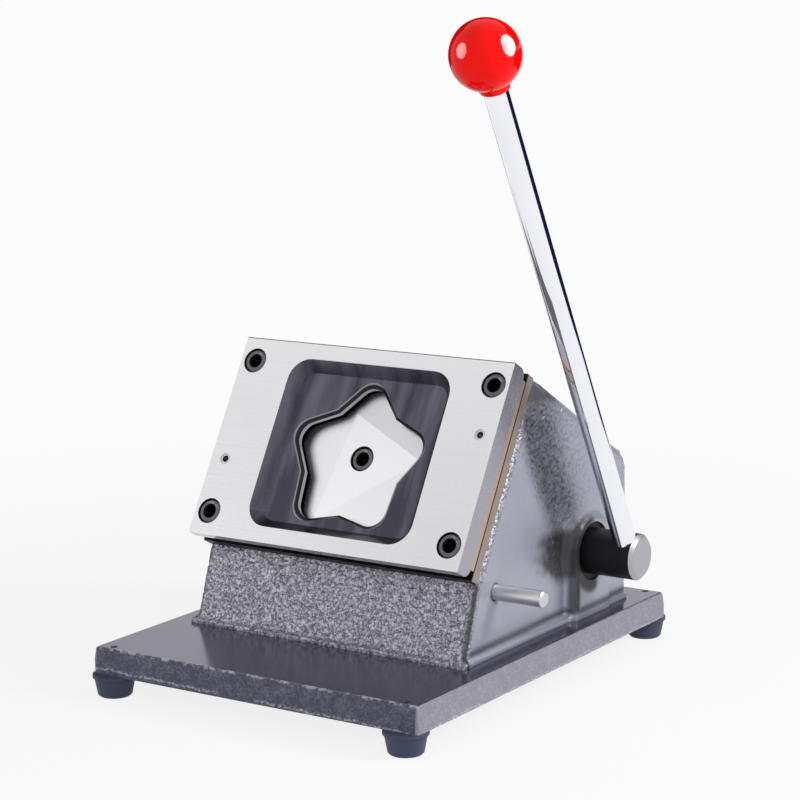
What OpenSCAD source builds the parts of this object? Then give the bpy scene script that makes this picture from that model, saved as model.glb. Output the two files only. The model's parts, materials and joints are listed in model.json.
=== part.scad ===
// Lever driven die cutter: a sloped cast body on a base plate, with a star shaped punch and die.
// Millimetres. X is to the right, Y to the rear, Z up, and the front looks along -Y.
// The origin is under the middle of the base plate, on the plane the feet stand on.

/* [Base] */
// width of the base plate along its lower edge
base_w = 200.8; // [198:0.2:212]
// depth of the base plate along its lower edge, front to rear
base_d = 254.4; // [252:0.2:270]
// thickness of the base plate
base_t = 14; // [13:0.5:18]
// how far each side of the base plate leans in from bottom to top
base_draft = 1.5; // [0.5:0.1:3]
// small break along the top edges of the base plate
base_break = 0.8; // [0.3:0.1:1.5]
// corner radius of the base plate, seen from above
base_corner = 3; // [1.5:0.5:6]

/* [Feet] */
// height of a rubber foot under the base plate
foot_h = 11.5; // [10:0.5:16]
// diameter of a foot at its upper rim
foot_top_d = 23; // [21:0.5:26]
// diameter of a foot where it stands
foot_low_d = 18; // [16.5:0.5:20]
// height of the straight rim at the top of a foot
foot_rim = 1.6; // [1:0.1:3]
// distance of a foot's centre from the base plate's side edge
foot_in_x = 10.4; // [9:0.2:14]
// distance of a foot's centre from the base plate's front or rear edge
foot_in_y = 5.2; // [5:0.2:14]

/* [Body casting] */
// width of the casting at the front, and of the plates on it
body_w = 168; // [164:1:176]
// distance of the casting's lower front edge from the middle of the base plate
body_front = 60.8; // [56:0.2:64]
// distance of the casting's rear face from the middle of the base plate
body_rear = 106.5; // [104:0.5:112]
// height of the line where the lower front face meets the sloped mounting face
break_rise = 40.2; // [39:0.2:44]
// how far that line lies behind the lower front edge
break_in = 13.6; // [11:0.2:16]
// slope of the mounting face above the horizontal
incline = 60; // [58:0.5:62]
// length of the mounting face along its slope
face_len = 111.4; // [110:0.2:114]
// thickness of the side walls
side_wall = 14; // [12:0.5:16]
// thickness of the rear and top walls
shell_wall = 10; // [8:0.5:12]
// thickness of the front wall behind the mounting face
front_wall = 24; // [23:0.5:28]
// radius of the upper rear corner
rear_round = 16; // [10:1:20]
// radius of the edges beside the mounting face
front_round = 4; // [3:0.5:7]
// radius of the upright edges of the lower front face
low_round = 2; // [1:0.5:4]
// radius of the casting's rear and top edges
side_round = 5; // [2:0.5:6]
// how far the thicker rear part of each side stands out
pad_out = 3; // [2:0.5:5]
// depth of the shallow valley in front of the thicker part
valley_in = 2; // [0.5:0.25:3]
// width of the smooth slope up to the thicker part, at its upper end
pad_slope = 18; // [10:1:24]
// radius of the bearing boss around the drive shaft
boss_r = 19; // [18:0.5:22]
// how far the bearing boss stands out past the thicker part
boss_out = 2; // [1:0.5:3]
// height and width of the bead around the casting's foot
bead = 2.4; // [1.5:0.1:3.5]

/* [Die stack] */
// thickness of the front die plate
die_t = 11.5; // [11:0.5:13]
// height of the die plate along the slope
die_h = 112; // [110:0.5:114]
// thickness of the brass spacers, which is the width of the card slot
slot_t = 3; // [2:0.25:4]
// width of a brass spacer
spacer_w = 18; // [17:0.5:20]
// how far the ends of a brass spacer lie inside the die plate's upper and lower edges
spacer_in = 5; // [2:0.5:6]
// thickness of the guide plate behind the slot
guide_t = 6.5; // [6:0.5:8]
// width of the pocket in the die plate
pocket_w = 102; // [98:0.5:106]
// height of the pocket along the slope
pocket_h = 94.5; // [92:0.5:97]
// depth of the pocket
pocket_deep = 7; // [6:0.25:8]
// how far the pocket's walls lean in from top to floor
pocket_lean = 5.5; // [4:0.25:6]
// corner radius of the pocket
pocket_r = 12.5; // [10:0.5:14]
// distance of the corner screws from the die plate's side edge
screw_in_x = 9; // [8:0.25:11]
// distance of the corner screws from the die plate's upper or lower edge
screw_in_u = 13; // [12:0.25:15]
// distance of the dowel pins from the die plate's side edge
dowel_in_x = 9; // [7:0.25:11]

/* [Star and punch] */
// distance of the middles of the star's five round lobes from its own middle
star_lobe_at = 30.5; // [29:0.25:31]
// radius of the round lobes
star_lobe_r = 9.5; // [9:0.25:9.75]
// turn of a lobe's straight flanks from the line through the lobe
star_flank = 49; // [44:1:52]
// how far the star's middle lies below the ram's middle
star_drop = 3; // [1:0.25:3.5]
// width of the bevel around the star hole in the die plate
bevel_w = 2.4; // [1.5:0.1:3]
// clearance between the punch and the star holes on each side
punch_gap = 0.12; // [0.1:0.01:0.2]
// depth of the resting punch face behind the guide plate's front
punch_in = 0.1; // [0:0.1:2]
// thickness of the punch
punch_t = 19.4; // [18:0.2:21]
// slope of the three ground planes on the punch face
shear_slope = 3.5; // [2:0.5:5]

/* [Ram and cam] */
// diameter of the ram where it runs in the casting
ram_d = 90; // [89:0.5:92]
// length of the ram's running part
ram_len = 38; // [34:1:40]
// diameter of the ram's tail
tail_d = 44; // [40:1:48]
// ram travel per radian of lever swing
cam_lead = 8.5; // [8:0.1:9]
// distance from the shaft's axis to the ram's wear pad at rest
cam_rest = 21; // [20.5:0.25:23]
// width of the cam
cam_w = 22; // [18:1:26]
// gap between the cam and the wear pad
cam_gap = 0.1; // [0.06:0.01:0.15]
// wire diameter of a return spring
spring_wire = 1.4; // [1.2:0.1:1.6]
// outer diameter of a return spring
spring_d = 9.2; // [8.6:0.1:9.4]
// number of curls in a return spring
spring_turns = 7; // [6:1:8]

/* [Shaft and lever] */
// diameter of the drive shaft
shaft_d = 25; // [24:0.5:26]
// distance of the shaft's axis behind the middle of the base plate
shaft_y = 64.7; // [63.5:0.1:66]
// height of the shaft's axis above the base plate
shaft_rise = 35; // [34:0.1:36]
// how far the shaft stands out of the right bearing boss
shaft_out = 29; // [27:0.5:35]
// distance of the lever rod from the shaft's right end
rod_in = 7.5; // [7:0.25:9]
// diameter of the lever rod
rod_d = 12.4; // [11:0.2:13]
// lean of the resting lever towards the front, from the vertical
lever_lean = 28.5; // [24:0.5:34]
// distance of the knob's middle from the shaft's axis
knob_reach = 306.8; // [260:1:330]
// diameter of the ball knob
knob_d = 35; // [30:0.5:40]
// diameter of the knob's neck, where the rod enters
knob_flat = 18; // [16:0.5:20]
// length of the knob's neck below the ball
knob_neck = 3.5; // [2.5:0.5:6]
// diameter of the stop pin
pin_d = 8.5; // [8:0.5:10]
// distance of the stop pin in front of the middle of the base plate
pin_front = 27.7; // [25:0.1:30]
// height of the stop pin above the base plate
pin_rise = 32; // [31:0.1:35]
// how far the stop pin stands out of the casting's side
pin_out = 28; // [26:0.5:32]

/* [Fits] */
// clearance on each side of parts that are pressed or screwed together
seat_gap = 0.02; // [0.01:0.01:0.05]
// clearance on each side of parts that run in each other
run_gap = 0.05; // [0.03:0.01:0.08]

/* [Hidden] */
$fn = 64;
// longer than the whole part, for cutters that run right through
reach = 400;
// how far a cutter runs past the face it opens
past = 1;
// how far the pieces of one solid run into each other
lap = 1;
base_top = foot_h + base_t;
base_hw = base_w / 2;
base_hd = base_d / 2;
foot_x = base_hw - foot_in_x;
foot_y = base_hd - foot_in_y;
body_hw = body_w / 2;
pad_x = body_hw + pad_out;
boss_x = pad_x + boss_out;
shaft_end = boss_x + shaft_out;
pin_end = body_hw + pin_out;

// the sloped frame: u runs up the slope, depth runs into the casting from the front of the die plate
stack_t = die_t + slot_t + guide_t;
break_y = break_in - body_front;
break_z = base_top + break_rise;
half_face = face_len / 2;
plate_y = break_y + half_face * cos(incline) - stack_t * sin(incline);
plate_z = break_z + half_face * sin(incline) + stack_t * cos(incline);
function on_slope(depth, u) = [
    plate_y + u * cos(incline) + depth * sin(incline),
    plate_z + u * sin(incline) - depth * cos(incline)
];

// the shaft seen in the sloped frame
shaft_z = base_top + shaft_rise;
shaft_depth = (shaft_y - plate_y) * sin(incline) - (shaft_z - plate_z) * cos(incline);

// lever swing: the rod comes down onto the stop pin with a small gap left
rod_x = shaft_end - rod_in;
rest_rise = 90 - lever_lean;
pin_away = norm([shaft_y + pin_front, pin_rise - shaft_rise]);
pin_angle = atan2(pin_rise - shaft_rise, shaft_y + pin_front);
stop_gap = 0.3;
stop_rise = pin_angle + asin((rod_d / 2 + pin_d / 2 + stop_gap) / pin_away);
lever_swing = rest_rise - stop_rise;
stroke = cam_lead * lever_swing * PI / 180;
echo(lever_swing_deg = lever_swing, ram_stroke = stroke, shaft_depth = shaft_depth);
echo(plate_y = plate_y, plate_z = plate_z, shaft_z = shaft_z);

// socket head screws
m8_d = 8;
m8_head_d = 13;
m8_head_h = 8;
m8_key = 6;
m8_key_deep = 4;
m8_clear = 8.6;
m8_bore = 14;

// ram, from the back of the punch to the wear pad
punch_rest = die_t + slot_t + punch_in;
punch_back = punch_rest + punch_t;
pad_plane = shaft_depth - cam_rest - cam_gap;
wear_t = 5;
wear_d = 34;
wear_pin_d = 12;
wear_pin_len = 10;
tail_end = pad_plane - wear_t;
ram_back = punch_back + ram_len;
guide_past = 4;
guide_back = ram_back + guide_past;
guide_wall = 9;
spring_rest = punch_back - stack_t;
spring_pocket = 13;
spring_room = 0.5;
spring_free = spring_rest + spring_pocket;
spring_out = 37.2;
spring_angles = [54, 126, 198, 342];
punch_head_in = 0.6;
punch_screw_len = 31.5;
punch_hold = punch_rest + punch_head_in + m8_head_h + punch_screw_len + 2;
punch_pin_x = 22;
punch_pin_d = 5;
punch_pin_len = 16;

// drive shaft fittings
bush_wall = 3;
bush_past = 8;
bush_in = body_hw - side_wall - bush_past;
bush_end = boss_x - 1;
inner_boss_r = 22;
boss_root = 1;
shaft_left = boss_x + 1;
shaft_clear = 1;
key_w = 8;
key_h = 7;
key_in = 4;
key_len = cam_w - 2;
sleeve_wall = 3.5;
rod_depth = 18;
knob_depth = 20;

// bolts that hold the casting and the feet
bolt_x = body_hw - side_wall - 4;
bolt_front_y = 34;
bolt_rear_in = 18;
bolt_rear_y = body_rear - bolt_rear_in;
bolt_boss_r = 11;
bolt_head_in = 1;
bolt_len = 20;
bolt_roof = 4;
foot_screw_d = 5;
foot_screw_up = 9;
foot_head_d = 9;
foot_head_h = 2.6;
foot_key = 3;
foot_key_deep = 1.6;
foot_recess_d = 12;
foot_recess = 5;
foot_hole_d = 4;
foot_break = 1;
foot_step = 0.8;
washer_t = 1;
washer_d = 11;

// stop pin's inner end in the side wall
pin_floor = 2;
pin_from = body_hw - side_wall + pin_floor;

// pieces of the die plate and its dowels
screw_x = body_hw - screw_in_x;
screw_u = die_h / 2 - screw_in_u;
spacer_h = die_h - 2 * spacer_in;
screw_hold = 17;
hole_spare = 2;
head_in = 0.4;
die_edge_top = 4.5;
die_edge_low = 5.5;
thin = 0.01;
dowel_d = 6;
dowel_x = body_hw - dowel_in_x;
dowel_left_u = -13.5;
dowel_right_u = 16;
dowel_in = 0.4;
dowel_len = 32;
dowel_tap_d = 3.6;
dowel_tap_deep = 9;
bevel_deep = 2;
star_steps = 16;
star_half = 36;

base_plate();
foot_front_left();
foot_front_right();
foot_rear_left();
foot_rear_right();
foot_washers();
foot_screws();
body_casting();
body_bolts();
guide_plate();
spacer_left();
spacer_right();
die_plate();
die_screws();
dowel_pins();
bush_left();
bush_right();
stop_pin();
drive_shaft();
cam();
cam_key();
sleeve_left();
sleeve_right();
lever_rod();
ball_knob();
ram();
wear_pad();
punch();
punch_screw();
punch_dowels();
return_springs();

// helpers

// the sloped frame, with its z axis out of the die plate's front
module plate_frame() {
    translate([0, plate_y, plate_z]) rotate([incline, 0, 0]) children();
}

// the same directions with the origin on the shaft's axis
module shaft_frame() {
    translate([0, shaft_y, shaft_z]) rotate([incline, 0, 0]) children();
}

// a flat shape in y and z, extruded from one x to another
module along_x(from, to) {
    translate([from, 0, 0]) rotate([90, 0, 90]) linear_extrude(to - from) children();
}

// a round bar along x on the shaft's axis
module shaft_bar(from, to, d) {
    translate([from, shaft_y, shaft_z]) rotate([0, 90, 0]) cylinder(d = d, h = to - from);
}

// a round bar in the sloped frame from one depth to a greater one
module bar_in(x, u, from, to, d) {
    translate([x, u, -to]) cylinder(d = d, h = to - from);
}

// rectangle with rounded corners, centred
module round_rect(w, h, r) {
    square([w - 2 * r, h], center = true);
    square([w, h - 2 * r], center = true);
    for (sx = [-1, 1], sy = [-1, 1]) translate([sx * (w / 2 - r), sy * (h / 2 - r)]) circle(r);
}

// outline of the five lobed star, grown by a given amount: each lobe's round, then the notch after it
star_out = star_lobe_at * cos(star_flank) + star_lobe_r;
star_mean = (star_lobe_at + star_lobe_r + star_out / cos(star_flank - star_half)) / 2;
function star_round(lobe, grow) = [
    for (j = [0:star_steps])
        let (t = lobe + star_flank * (2 * j / star_steps - 1))
            star_lobe_at * [cos(lobe), sin(lobe)] + (star_lobe_r + grow) * [cos(t), sin(t)]
];
function star_notch(turn, grow) = (star_out + grow) / cos(star_flank - star_half) * [cos(turn), sin(turn)];
function star_points(grow) = [
    for (i = [0:4])
        let (lobe = 90 + 2 * star_half * i)
            each concat(star_round(lobe, grow), [star_notch(lobe + star_half, grow)])
];
module star(grow) {
    polygon(star_points(grow));
}

// the corner of a square bar that a rounded edge leaves out, along z;
// the cutter runs out sideways by a given amount
module edge_cut(r, len, out = past) {
    difference() {
        cube([r + out, r + past, len]);
        translate([0, 0, -past]) cylinder(r = r, h = len + 2 * past);
    }
}

// socket head screw along -z, with the top of its head at z = 0
module socket_screw(len) {
    difference() {
        union() {
            translate([0, 0, -m8_head_h]) cylinder(d = m8_head_d, h = m8_head_h);
            translate([0, 0, -m8_head_h - len]) cylinder(d = m8_d, h = len + lap);
        }
        translate([0, 0, -m8_key_deep]) cylinder(d = m8_key / cos(30), h = m8_key_deep + past, $fn = 6);
    }
}

// base plate and feet

module base_plate() {
    top_w = base_w - 2 * base_draft;
    top_d = base_d - 2 * base_draft;
    color("dimgray") difference() {
        intersection() {
            along_x(-base_hw, base_hw) base_side(base_d, top_d);
            rotate([0, 0, 90]) along_x(-base_hd, base_hd) base_side(base_w, top_w);
            translate([0, 0, foot_h]) linear_extrude(base_t) round_rect(base_w, base_d, base_corner);
        }
        for (sx = [-1, 1], sy = [-1, 1]) translate([sx * foot_x, sy * foot_y, 0]) {
            cylinder(d = foot_screw_d + 2 * seat_gap, h = foot_h + foot_screw_up + past);
            cylinder(d = foot_hole_d, h = base_top + past);
        }
        for (sx = [-1, 1], y = [-bolt_front_y, bolt_rear_y]) translate([sx * bolt_x, y, 0]) {
            cylinder(d = m8_clear, h = base_top + past);
            cylinder(d = m8_bore, h = foot_h + bolt_head_in + m8_head_h);
        }
    }
}

// cross section of the base plate with its leaning sides and broken top edges
module base_side(low, top) {
    polygon([
        [-low / 2, foot_h],
        [low / 2, foot_h],
        [top / 2, base_top - base_break],
        [top / 2 - base_break, base_top],
        [base_break - top / 2, base_top],
        [-top / 2, base_top - base_break]
    ]);
}

module foot(sx, sy) {
    color("#2b2e38") translate([sx * foot_x, sy * foot_y, 0]) difference() {
        rotate_extrude() polygon([
            [0, 0],
            [foot_low_d / 2 - foot_break, 0],
            [foot_low_d / 2, foot_break],
            [foot_top_d / 2 - foot_step, foot_h - foot_rim],
            [foot_top_d / 2, foot_h - foot_rim],
            [foot_top_d / 2, foot_h],
            [0, foot_h]
        ]);
        translate([0, 0, -past]) cylinder(d = foot_recess_d, h = foot_recess + past);
        cylinder(d = foot_screw_d + 2 * seat_gap, h = foot_h + past);
    }
}
module foot_front_left() { foot(-1, -1); }
module foot_front_right() { foot(1, -1); }
module foot_rear_left() { foot(-1, 1); }
module foot_rear_right() { foot(1, 1); }

module foot_washers() {
    color("silver") for (sx = [-1, 1], sy = [-1, 1])
        translate([sx * foot_x, sy * foot_y, foot_recess - washer_t]) difference() {
            cylinder(d = washer_d, h = washer_t);
            translate([0, 0, -past]) cylinder(d = foot_screw_d + 2 * seat_gap, h = washer_t + 2 * past);
        }
}

module foot_screws() {
    head_low = foot_recess - washer_t - foot_head_h;
    color("gray") for (sx = [-1, 1], sy = [-1, 1])
        translate([sx * foot_x, sy * foot_y, head_low]) difference() {
            union() {
                cylinder(d = foot_head_d, h = foot_head_h);
                cylinder(d = foot_screw_d, h = foot_h + foot_screw_up - head_low);
            }
            translate([0, 0, -past]) cylinder(d = foot_key / cos(30), h = foot_key_deep + past, $fn = 6);
        }
}

// body casting

// upper rear corner: the top falls to the rear at a right angle to the mounting face
apex = on_slope(stack_t, half_face);
corner_z = apex[1] - (body_rear - apex[0]) / tan(incline);
round_y = body_rear - rear_round;
round_z = corner_z - rear_round * tan(incline / 2);

// side view of the casting, with its rounded upper rear corner
module body_side() {
    steps = 10;
    arc = [for (i = [0:steps]) let (t = incline * (1 - i / steps))
        [round_y, round_z] + rear_round * [cos(t), sin(t)]];
    polygon(concat(
        [[-body_front, base_top], [break_y, break_z], apex],
        arc,
        [[body_rear, base_top]]
    ));
}

// side surface of the casting, by height above the base plate: flat at the front,
// then a shallow valley, then a smooth slope up to the thicker rear part
pad_foot_y = 55;
pad_sweep = 42;
pad_low = 18;
pad_high = 110;
pad_fade = 60;
pad_sharp = 4;
skin_t = 8;
skin_over = 5;
skin_low = -2;
skin_high = apex[1] - base_top + skin_over;
skin_rows = 20;
skin_steps = 6;
skin_past = 20;
valley_from = 8;
function smooth(t) = let (c = max(0, min(1, t))) c * c * (3 - 2 * c);
function pad_line(h) = pad_foot_y - pad_sweep * smooth((h - pad_low) / pad_high);
function pad_ramp(h) = pad_sharp + (pad_slope - pad_sharp) * smooth((h - pad_low) / pad_fade);
function front_line(h) = h < break_rise
    ? break_in * h / break_rise - body_front
    : break_y + (h - break_rise) / tan(incline);
function skin_x(share) = body_hw - valley_in + (valley_in + pad_out) * smooth(share);
function skin_row(h) = let (mid = pad_line(h), w = pad_ramp(h)) [
    [body_hw, -body_front - skin_past],
    [body_hw, min(front_line(h) + valley_from, mid - w)],
    for (i = [0:skin_steps]) let (share = i / skin_steps) [skin_x(share), mid + w * (share - 0.5)],
    [skin_x(1), body_rear + skin_past]
];
function skin_height(j) = skin_low + (skin_high - skin_low) * j / (skin_rows - 1);

module side_skin() {
    cols = skin_steps + 4;
    inner = skin_rows * cols;
    in_x = body_hw - skin_t;
    outer_points = [for (j = [0:skin_rows - 1], p = skin_row(skin_height(j)))
        [p[0], p[1], base_top + skin_height(j)]];
    inner_points = [for (c = [[0, 0], [1, 0], [1, 1], [0, 1]]) [
        in_x,
        c[0] == 0 ? -body_front - skin_past : body_rear + skin_past,
        base_top + (c[1] == 0 ? skin_low : skin_high)
    ]];
    surface = [for (j = [0:skin_rows - 2], i = [0:cols - 2], half = [0, 1])
        let (a = j * cols + i, b = a + 1, c = b + cols, d = a + cols)
            half == 0 ? [a, d, c] : [a, c, b]];
    under = concat([inner], [for (i = [0:cols - 1]) i], [inner + 1]);
    over = concat([inner + 3, inner + 2], [for (i = [1:cols]) inner - i]);
    front = concat([inner, inner + 3], [for (j = [1:skin_rows]) (skin_rows - j) * cols]);
    rear = concat([inner + 1], [for (j = [1:skin_rows]) j * cols - 1], [inner + 2]);
    back = [inner, inner + 1, inner + 2, inner + 3];
    polyhedron(concat(outer_points, inner_points), concat(surface, [under, over, front, rear, back]));
}

module body_casting() {
    color("#9a9ca4") difference() {
        union() {
            difference() {
                union() {
                    along_x(skin_t - body_hw - lap, body_hw - skin_t + lap) body_side();
                    for (s = [0, 1]) mirror([s, 0, 0]) intersection() {
                        side_skin();
                        along_x(0, reach) body_side();
                    }
                    foot_bead();
                }
                body_edges();
                mirror([1, 0, 0]) body_edges();
                body_hollow();
            }
            ram_guide();
            for (s = [0, 1]) mirror([s, 0, 0]) {
                shaft_boss();
                for (y = [-bolt_front_y, bolt_rear_y]) translate([bolt_x, y, base_top])
                    cylinder(r = bolt_boss_r, h = bolt_len + bolt_roof);
            }
        }
        plate_frame() bar_in(0, 0, stack_t - past, guide_back + past, ram_d + 2 * run_gap);
        plate_frame() for (sx = [-1, 1], su = [-1, 1])
            bar_in(sx * screw_x, su * screw_u, stack_t - past, stack_t + screw_hold + hole_spare,
                m8_d + 2 * seat_gap);
        plate_frame() {
            bar_in(-dowel_x, dowel_left_u, stack_t - past, dowel_in + dowel_len, dowel_d + 2 * seat_gap);
            bar_in(dowel_x, dowel_right_u, stack_t - past, dowel_in + dowel_len, dowel_d + 2 * seat_gap);
        }
        for (sx = [-1, 1], y = [-bolt_front_y, bolt_rear_y]) translate([sx * bolt_x, y, base_top - past])
            cylinder(d = m8_d + 2 * seat_gap, h = bolt_len + past);
        shaft_bar(-bush_end, bush_end, shaft_d + 2 * bush_wall + 2 * seat_gap);
        shaft_bar(-reach, reach, shaft_d + 2 * shaft_clear);
        translate([pin_from, -pin_front, base_top + pin_rise]) rotate([0, 90, 0])
            cylinder(d = pin_d + 2 * seat_gap, h = reach);
    }
}

// low bead where the casting meets the base plate
module foot_bead() {
    translate([-body_hw - bead, -body_front - bead, base_top])
        cube([2 * (body_hw + bead), body_rear + body_front, bead]);
}

// rounded long edges on the right side of the casting
module body_edges() {
    low_len = norm([break_in, break_rise]);
    low_lean = atan2(break_in, break_rise);
    // lower front edge, from the break down to the bead
    translate([body_hw - low_round, break_y, break_z]) rotate([180 - low_lean, 0, 0])
        translate([0, -low_round, 0]) edge_cut(low_round, low_len - bead);
    // edge of the mounting face
    plate_frame() translate([body_hw - front_round, -half_face, -stack_t - front_round])
        rotate([-90, 0, 0]) mirror([0, 1, 0]) edge_cut(front_round, face_len, pad_out + past);
    // rear edge, from the bead up to the rounded corner
    translate([pad_x - side_round, body_rear - side_round, base_top + bead])
        edge_cut(side_round, round_z - base_top - bead);
    // around the upper rear corner
    translate([pad_x - side_round, round_y, round_z]) rotate([90, 0, 90])
        rotate_extrude(angle = incline) translate([rear_round - side_round, 0])
            difference() {
                square(side_round + past);
                circle(side_round);
            }
    // top edge, from the corner up to the apex
    top_len = norm([round_y + rear_round * cos(incline), round_z + rear_round * sin(incline)] - apex);
    plate_frame() translate([pad_x - side_round, half_face - side_round, -stack_t - top_len])
        edge_cut(side_round, top_len);
}

low_wall = 13;
low_roof = 6;
corner_cut = 8;
module body_hollow() {
    in_x = body_hw - side_wall;
    floor_z = base_top - past;
    front_low = on_slope(stack_t + front_wall, shell_wall - half_face);
    front_top = on_slope(stack_t + front_wall, half_face - shell_wall);
    rear_y = body_rear - shell_wall;
    rear_z = front_top[1] - (rear_y - front_top[0]) / tan(incline);
    along_x(-in_x, in_x) polygon([
        [low_wall - body_front, floor_z],
        [break_y + low_wall, break_z - low_roof],
        front_low,
        front_top,
        [rear_y - corner_cut, rear_z + corner_cut / tan(incline)],
        [rear_y, rear_z - corner_cut],
        [rear_y, floor_z]
    ]);
}

module ram_guide() {
    plate_frame() bar_in(0, 0, stack_t + past, guide_back, ram_d + 2 * guide_wall);
}

module shaft_boss() {
    shaft_bar(bush_in, body_hw, 2 * inner_boss_r);
    shaft_bar(body_hw - boss_root, boss_x, 2 * boss_r);
    along_x(body_hw - boss_root, boss_x) translate([shaft_y - boss_r, base_top])
        square([2 * boss_r, shaft_rise]);
}

module body_bolts() {
    color("#3a3a40") for (sx = [-1, 1], y = [-bolt_front_y, bolt_rear_y])
        translate([sx * bolt_x, y, foot_h + bolt_head_in]) rotate([180, 0, 0])
            socket_screw(base_t - bolt_head_in - m8_head_h + bolt_len - hole_spare);
}

// die stack

module stack_holes(from, to, fit) {
    for (sx = [-1, 1], su = [-1, 1]) bar_in(sx * screw_x, su * screw_u, from, to, m8_clear);
    bar_in(-dowel_x, dowel_left_u, from, to, dowel_d + 2 * fit);
    bar_in(dowel_x, dowel_right_u, from, to, dowel_d + 2 * fit);
}

module die_side() {
    translate([-die_h / 2, die_edge_low - die_t]) square([die_h, die_t - die_edge_low]);
    translate([die_edge_low - die_h / 2, -die_t])
        square([die_h - die_edge_low - die_edge_top, die_t]);
    translate([die_edge_low - die_h / 2, die_edge_low - die_t]) circle(die_edge_low);
    translate([die_h / 2 - die_edge_top, die_edge_top - die_t]) circle(die_edge_top);
    translate([die_h / 2 - die_edge_low, die_edge_top - die_t])
        square([die_edge_low, die_edge_low - die_edge_top]);
}

module die_plate() {
    head_bore = m8_head_h + head_in;
    color("#d9d9da") plate_frame() difference() {
        along_x(-body_hw, body_hw) die_side();
        die_pocket();
        translate([0, -star_drop, -die_t - past]) linear_extrude(die_t) star(0);
        bevel_scale = (star_mean + bevel_w) / star_mean;
        translate([0, -star_drop, -pocket_deep - bevel_deep])
            linear_extrude(bevel_deep + thin, scale = bevel_scale) star(0);
        stack_holes(-past, die_t + past, seat_gap);
        for (sx = [-1, 1], su = [-1, 1]) bar_in(sx * screw_x, su * screw_u, -past, head_bore, m8_bore);
    }
}

// pocket with leaning walls
module die_pocket() {
    low_r = pocket_r - pocket_lean;
    hull() {
        translate([0, 0, -pocket_deep]) linear_extrude(thin)
            round_rect(pocket_w - 2 * pocket_lean, pocket_h - 2 * pocket_lean, low_r, $fn = 32);
        linear_extrude(thin) round_rect(pocket_w, pocket_h, pocket_r, $fn = 32);
    }
}

module guide_plate() {
    color("#8c8a90") plate_frame() difference() {
        translate([-body_hw, -half_face, -stack_t]) cube([body_w, face_len, guide_t]);
        translate([0, -star_drop, -stack_t - past]) linear_extrude(guide_t + 2 * past) star(0);
        stack_holes(die_t, stack_t + past, seat_gap);
    }
}

module spacer(sx) {
    out = body_hw - spacer_w / 2;
    color("#c8a082") plate_frame() difference() {
        translate([sx * out - spacer_w / 2, -spacer_h / 2, -die_t - slot_t])
            cube([spacer_w, spacer_h, slot_t]);
        stack_holes(die_t - past, stack_t, seat_gap);
    }
}
module spacer_left() { spacer(-1); }
module spacer_right() { spacer(1); }

module die_screws() {
    screw_len = stack_t + screw_hold - head_in - m8_head_h;
    color("#77777c") plate_frame() for (sx = [-1, 1], su = [-1, 1])
        translate([sx * screw_x, su * screw_u, -head_in]) socket_screw(screw_len);
}

module dowel_pins() {
    color("silver") plate_frame() {
        dowel_pin(-dowel_x, dowel_left_u);
        dowel_pin(dowel_x, dowel_right_u);
    }
}
module dowel_pin(x, u) {
    difference() {
        bar_in(x, u, dowel_in, dowel_in + dowel_len, dowel_d);
        bar_in(x, u, -past, dowel_in + dowel_tap_deep, dowel_tap_d);
    }
}

// shaft, cam and lever

module bush(side) {
    from = side < 0 ? -bush_end : bush_in;
    color("#b08d57") difference() {
        shaft_bar(from, from + bush_end - bush_in, shaft_d + 2 * bush_wall);
        shaft_bar(from - past, from + bush_end, shaft_d + 2 * run_gap);
    }
}
module bush_left() { bush(-1); }
module bush_right() { bush(1); }

module stop_pin() {
    pin_chamfer = 0.8;
    color("silver") translate([pin_from, -pin_front, base_top + pin_rise]) rotate([0, 90, 0]) {
        cylinder(d = pin_d, h = pin_end - pin_from - pin_chamfer);
        translate([0, 0, pin_end - pin_from - pin_chamfer])
            cylinder(d1 = pin_d, d2 = pin_d - 2 * pin_chamfer, h = pin_chamfer);
    }
}

module drive_shaft() {
    end_chamfer = 2;
    color("#2a2a2e") difference() {
        union() {
            shaft_bar(-shaft_left, shaft_end - end_chamfer, shaft_d);
            translate([shaft_end - end_chamfer, shaft_y, shaft_z]) rotate([0, 90, 0])
                cylinder(d1 = shaft_d, d2 = shaft_d - 2 * end_chamfer, h = end_chamfer);
        }
        shaft_frame() translate([-key_len / 2, shaft_d / 2 - key_in, -key_w / 2])
            cube([key_len, key_h, key_w]);
        lever_frame() translate([0, 0, shaft_d / 2 - rod_depth])
            cylinder(d = rod_d + 2 * seat_gap, h = shaft_d);
    }
}

// cam flank: the flat wear pad moves in exact step with the lever on this curve
function cam_point(a) = let (s = cam_rest + cam_lead * a * PI / 180) [
    s * sin(a) + cam_lead * cos(a),
    s * cos(a) - cam_lead * sin(a)
];
module cam_shape() {
    hub_r = 18;
    flat_low = 7;
    steps = 24;
    top_angle = lever_swing + 5;
    flank = [for (i = [0:steps]) cam_point(top_angle * i / steps)];
    hub = [for (i = [0:steps]) let (t = 135 + 150 * i / steps) hub_r * [sin(t), cos(t)]];
    polygon(concat([[-flat_low, cam_rest]], flank, hub));
}

module cam() {
    color("#6f7076") shaft_frame() difference() {
        along_x(-cam_w / 2, cam_w / 2) cam_shape();
        along_x(-cam_w, cam_w) circle(d = shaft_d + 2 * seat_gap);
        translate([-cam_w, 0, -key_w / 2]) cube([2 * cam_w, shaft_d / 2 - key_in + key_h, key_w]);
    }
}

module cam_key() {
    color("#8f9094") shaft_frame() translate([-key_len / 2, shaft_d / 2 - key_in, -key_w / 2])
        cube([key_len, key_h, key_w]);
}

module sleeve(side) {
    inner = cam_w / 2 + run_gap;
    outer = bush_in - run_gap;
    from = side < 0 ? -outer : inner;
    color("#85868c") difference() {
        shaft_bar(from, from + outer - inner, shaft_d + 2 * sleeve_wall);
        shaft_bar(from - past, from + outer, shaft_d + 2 * seat_gap);
    }
}
module sleeve_left() { sleeve(-1); }
module sleeve_right() { sleeve(1); }

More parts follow.
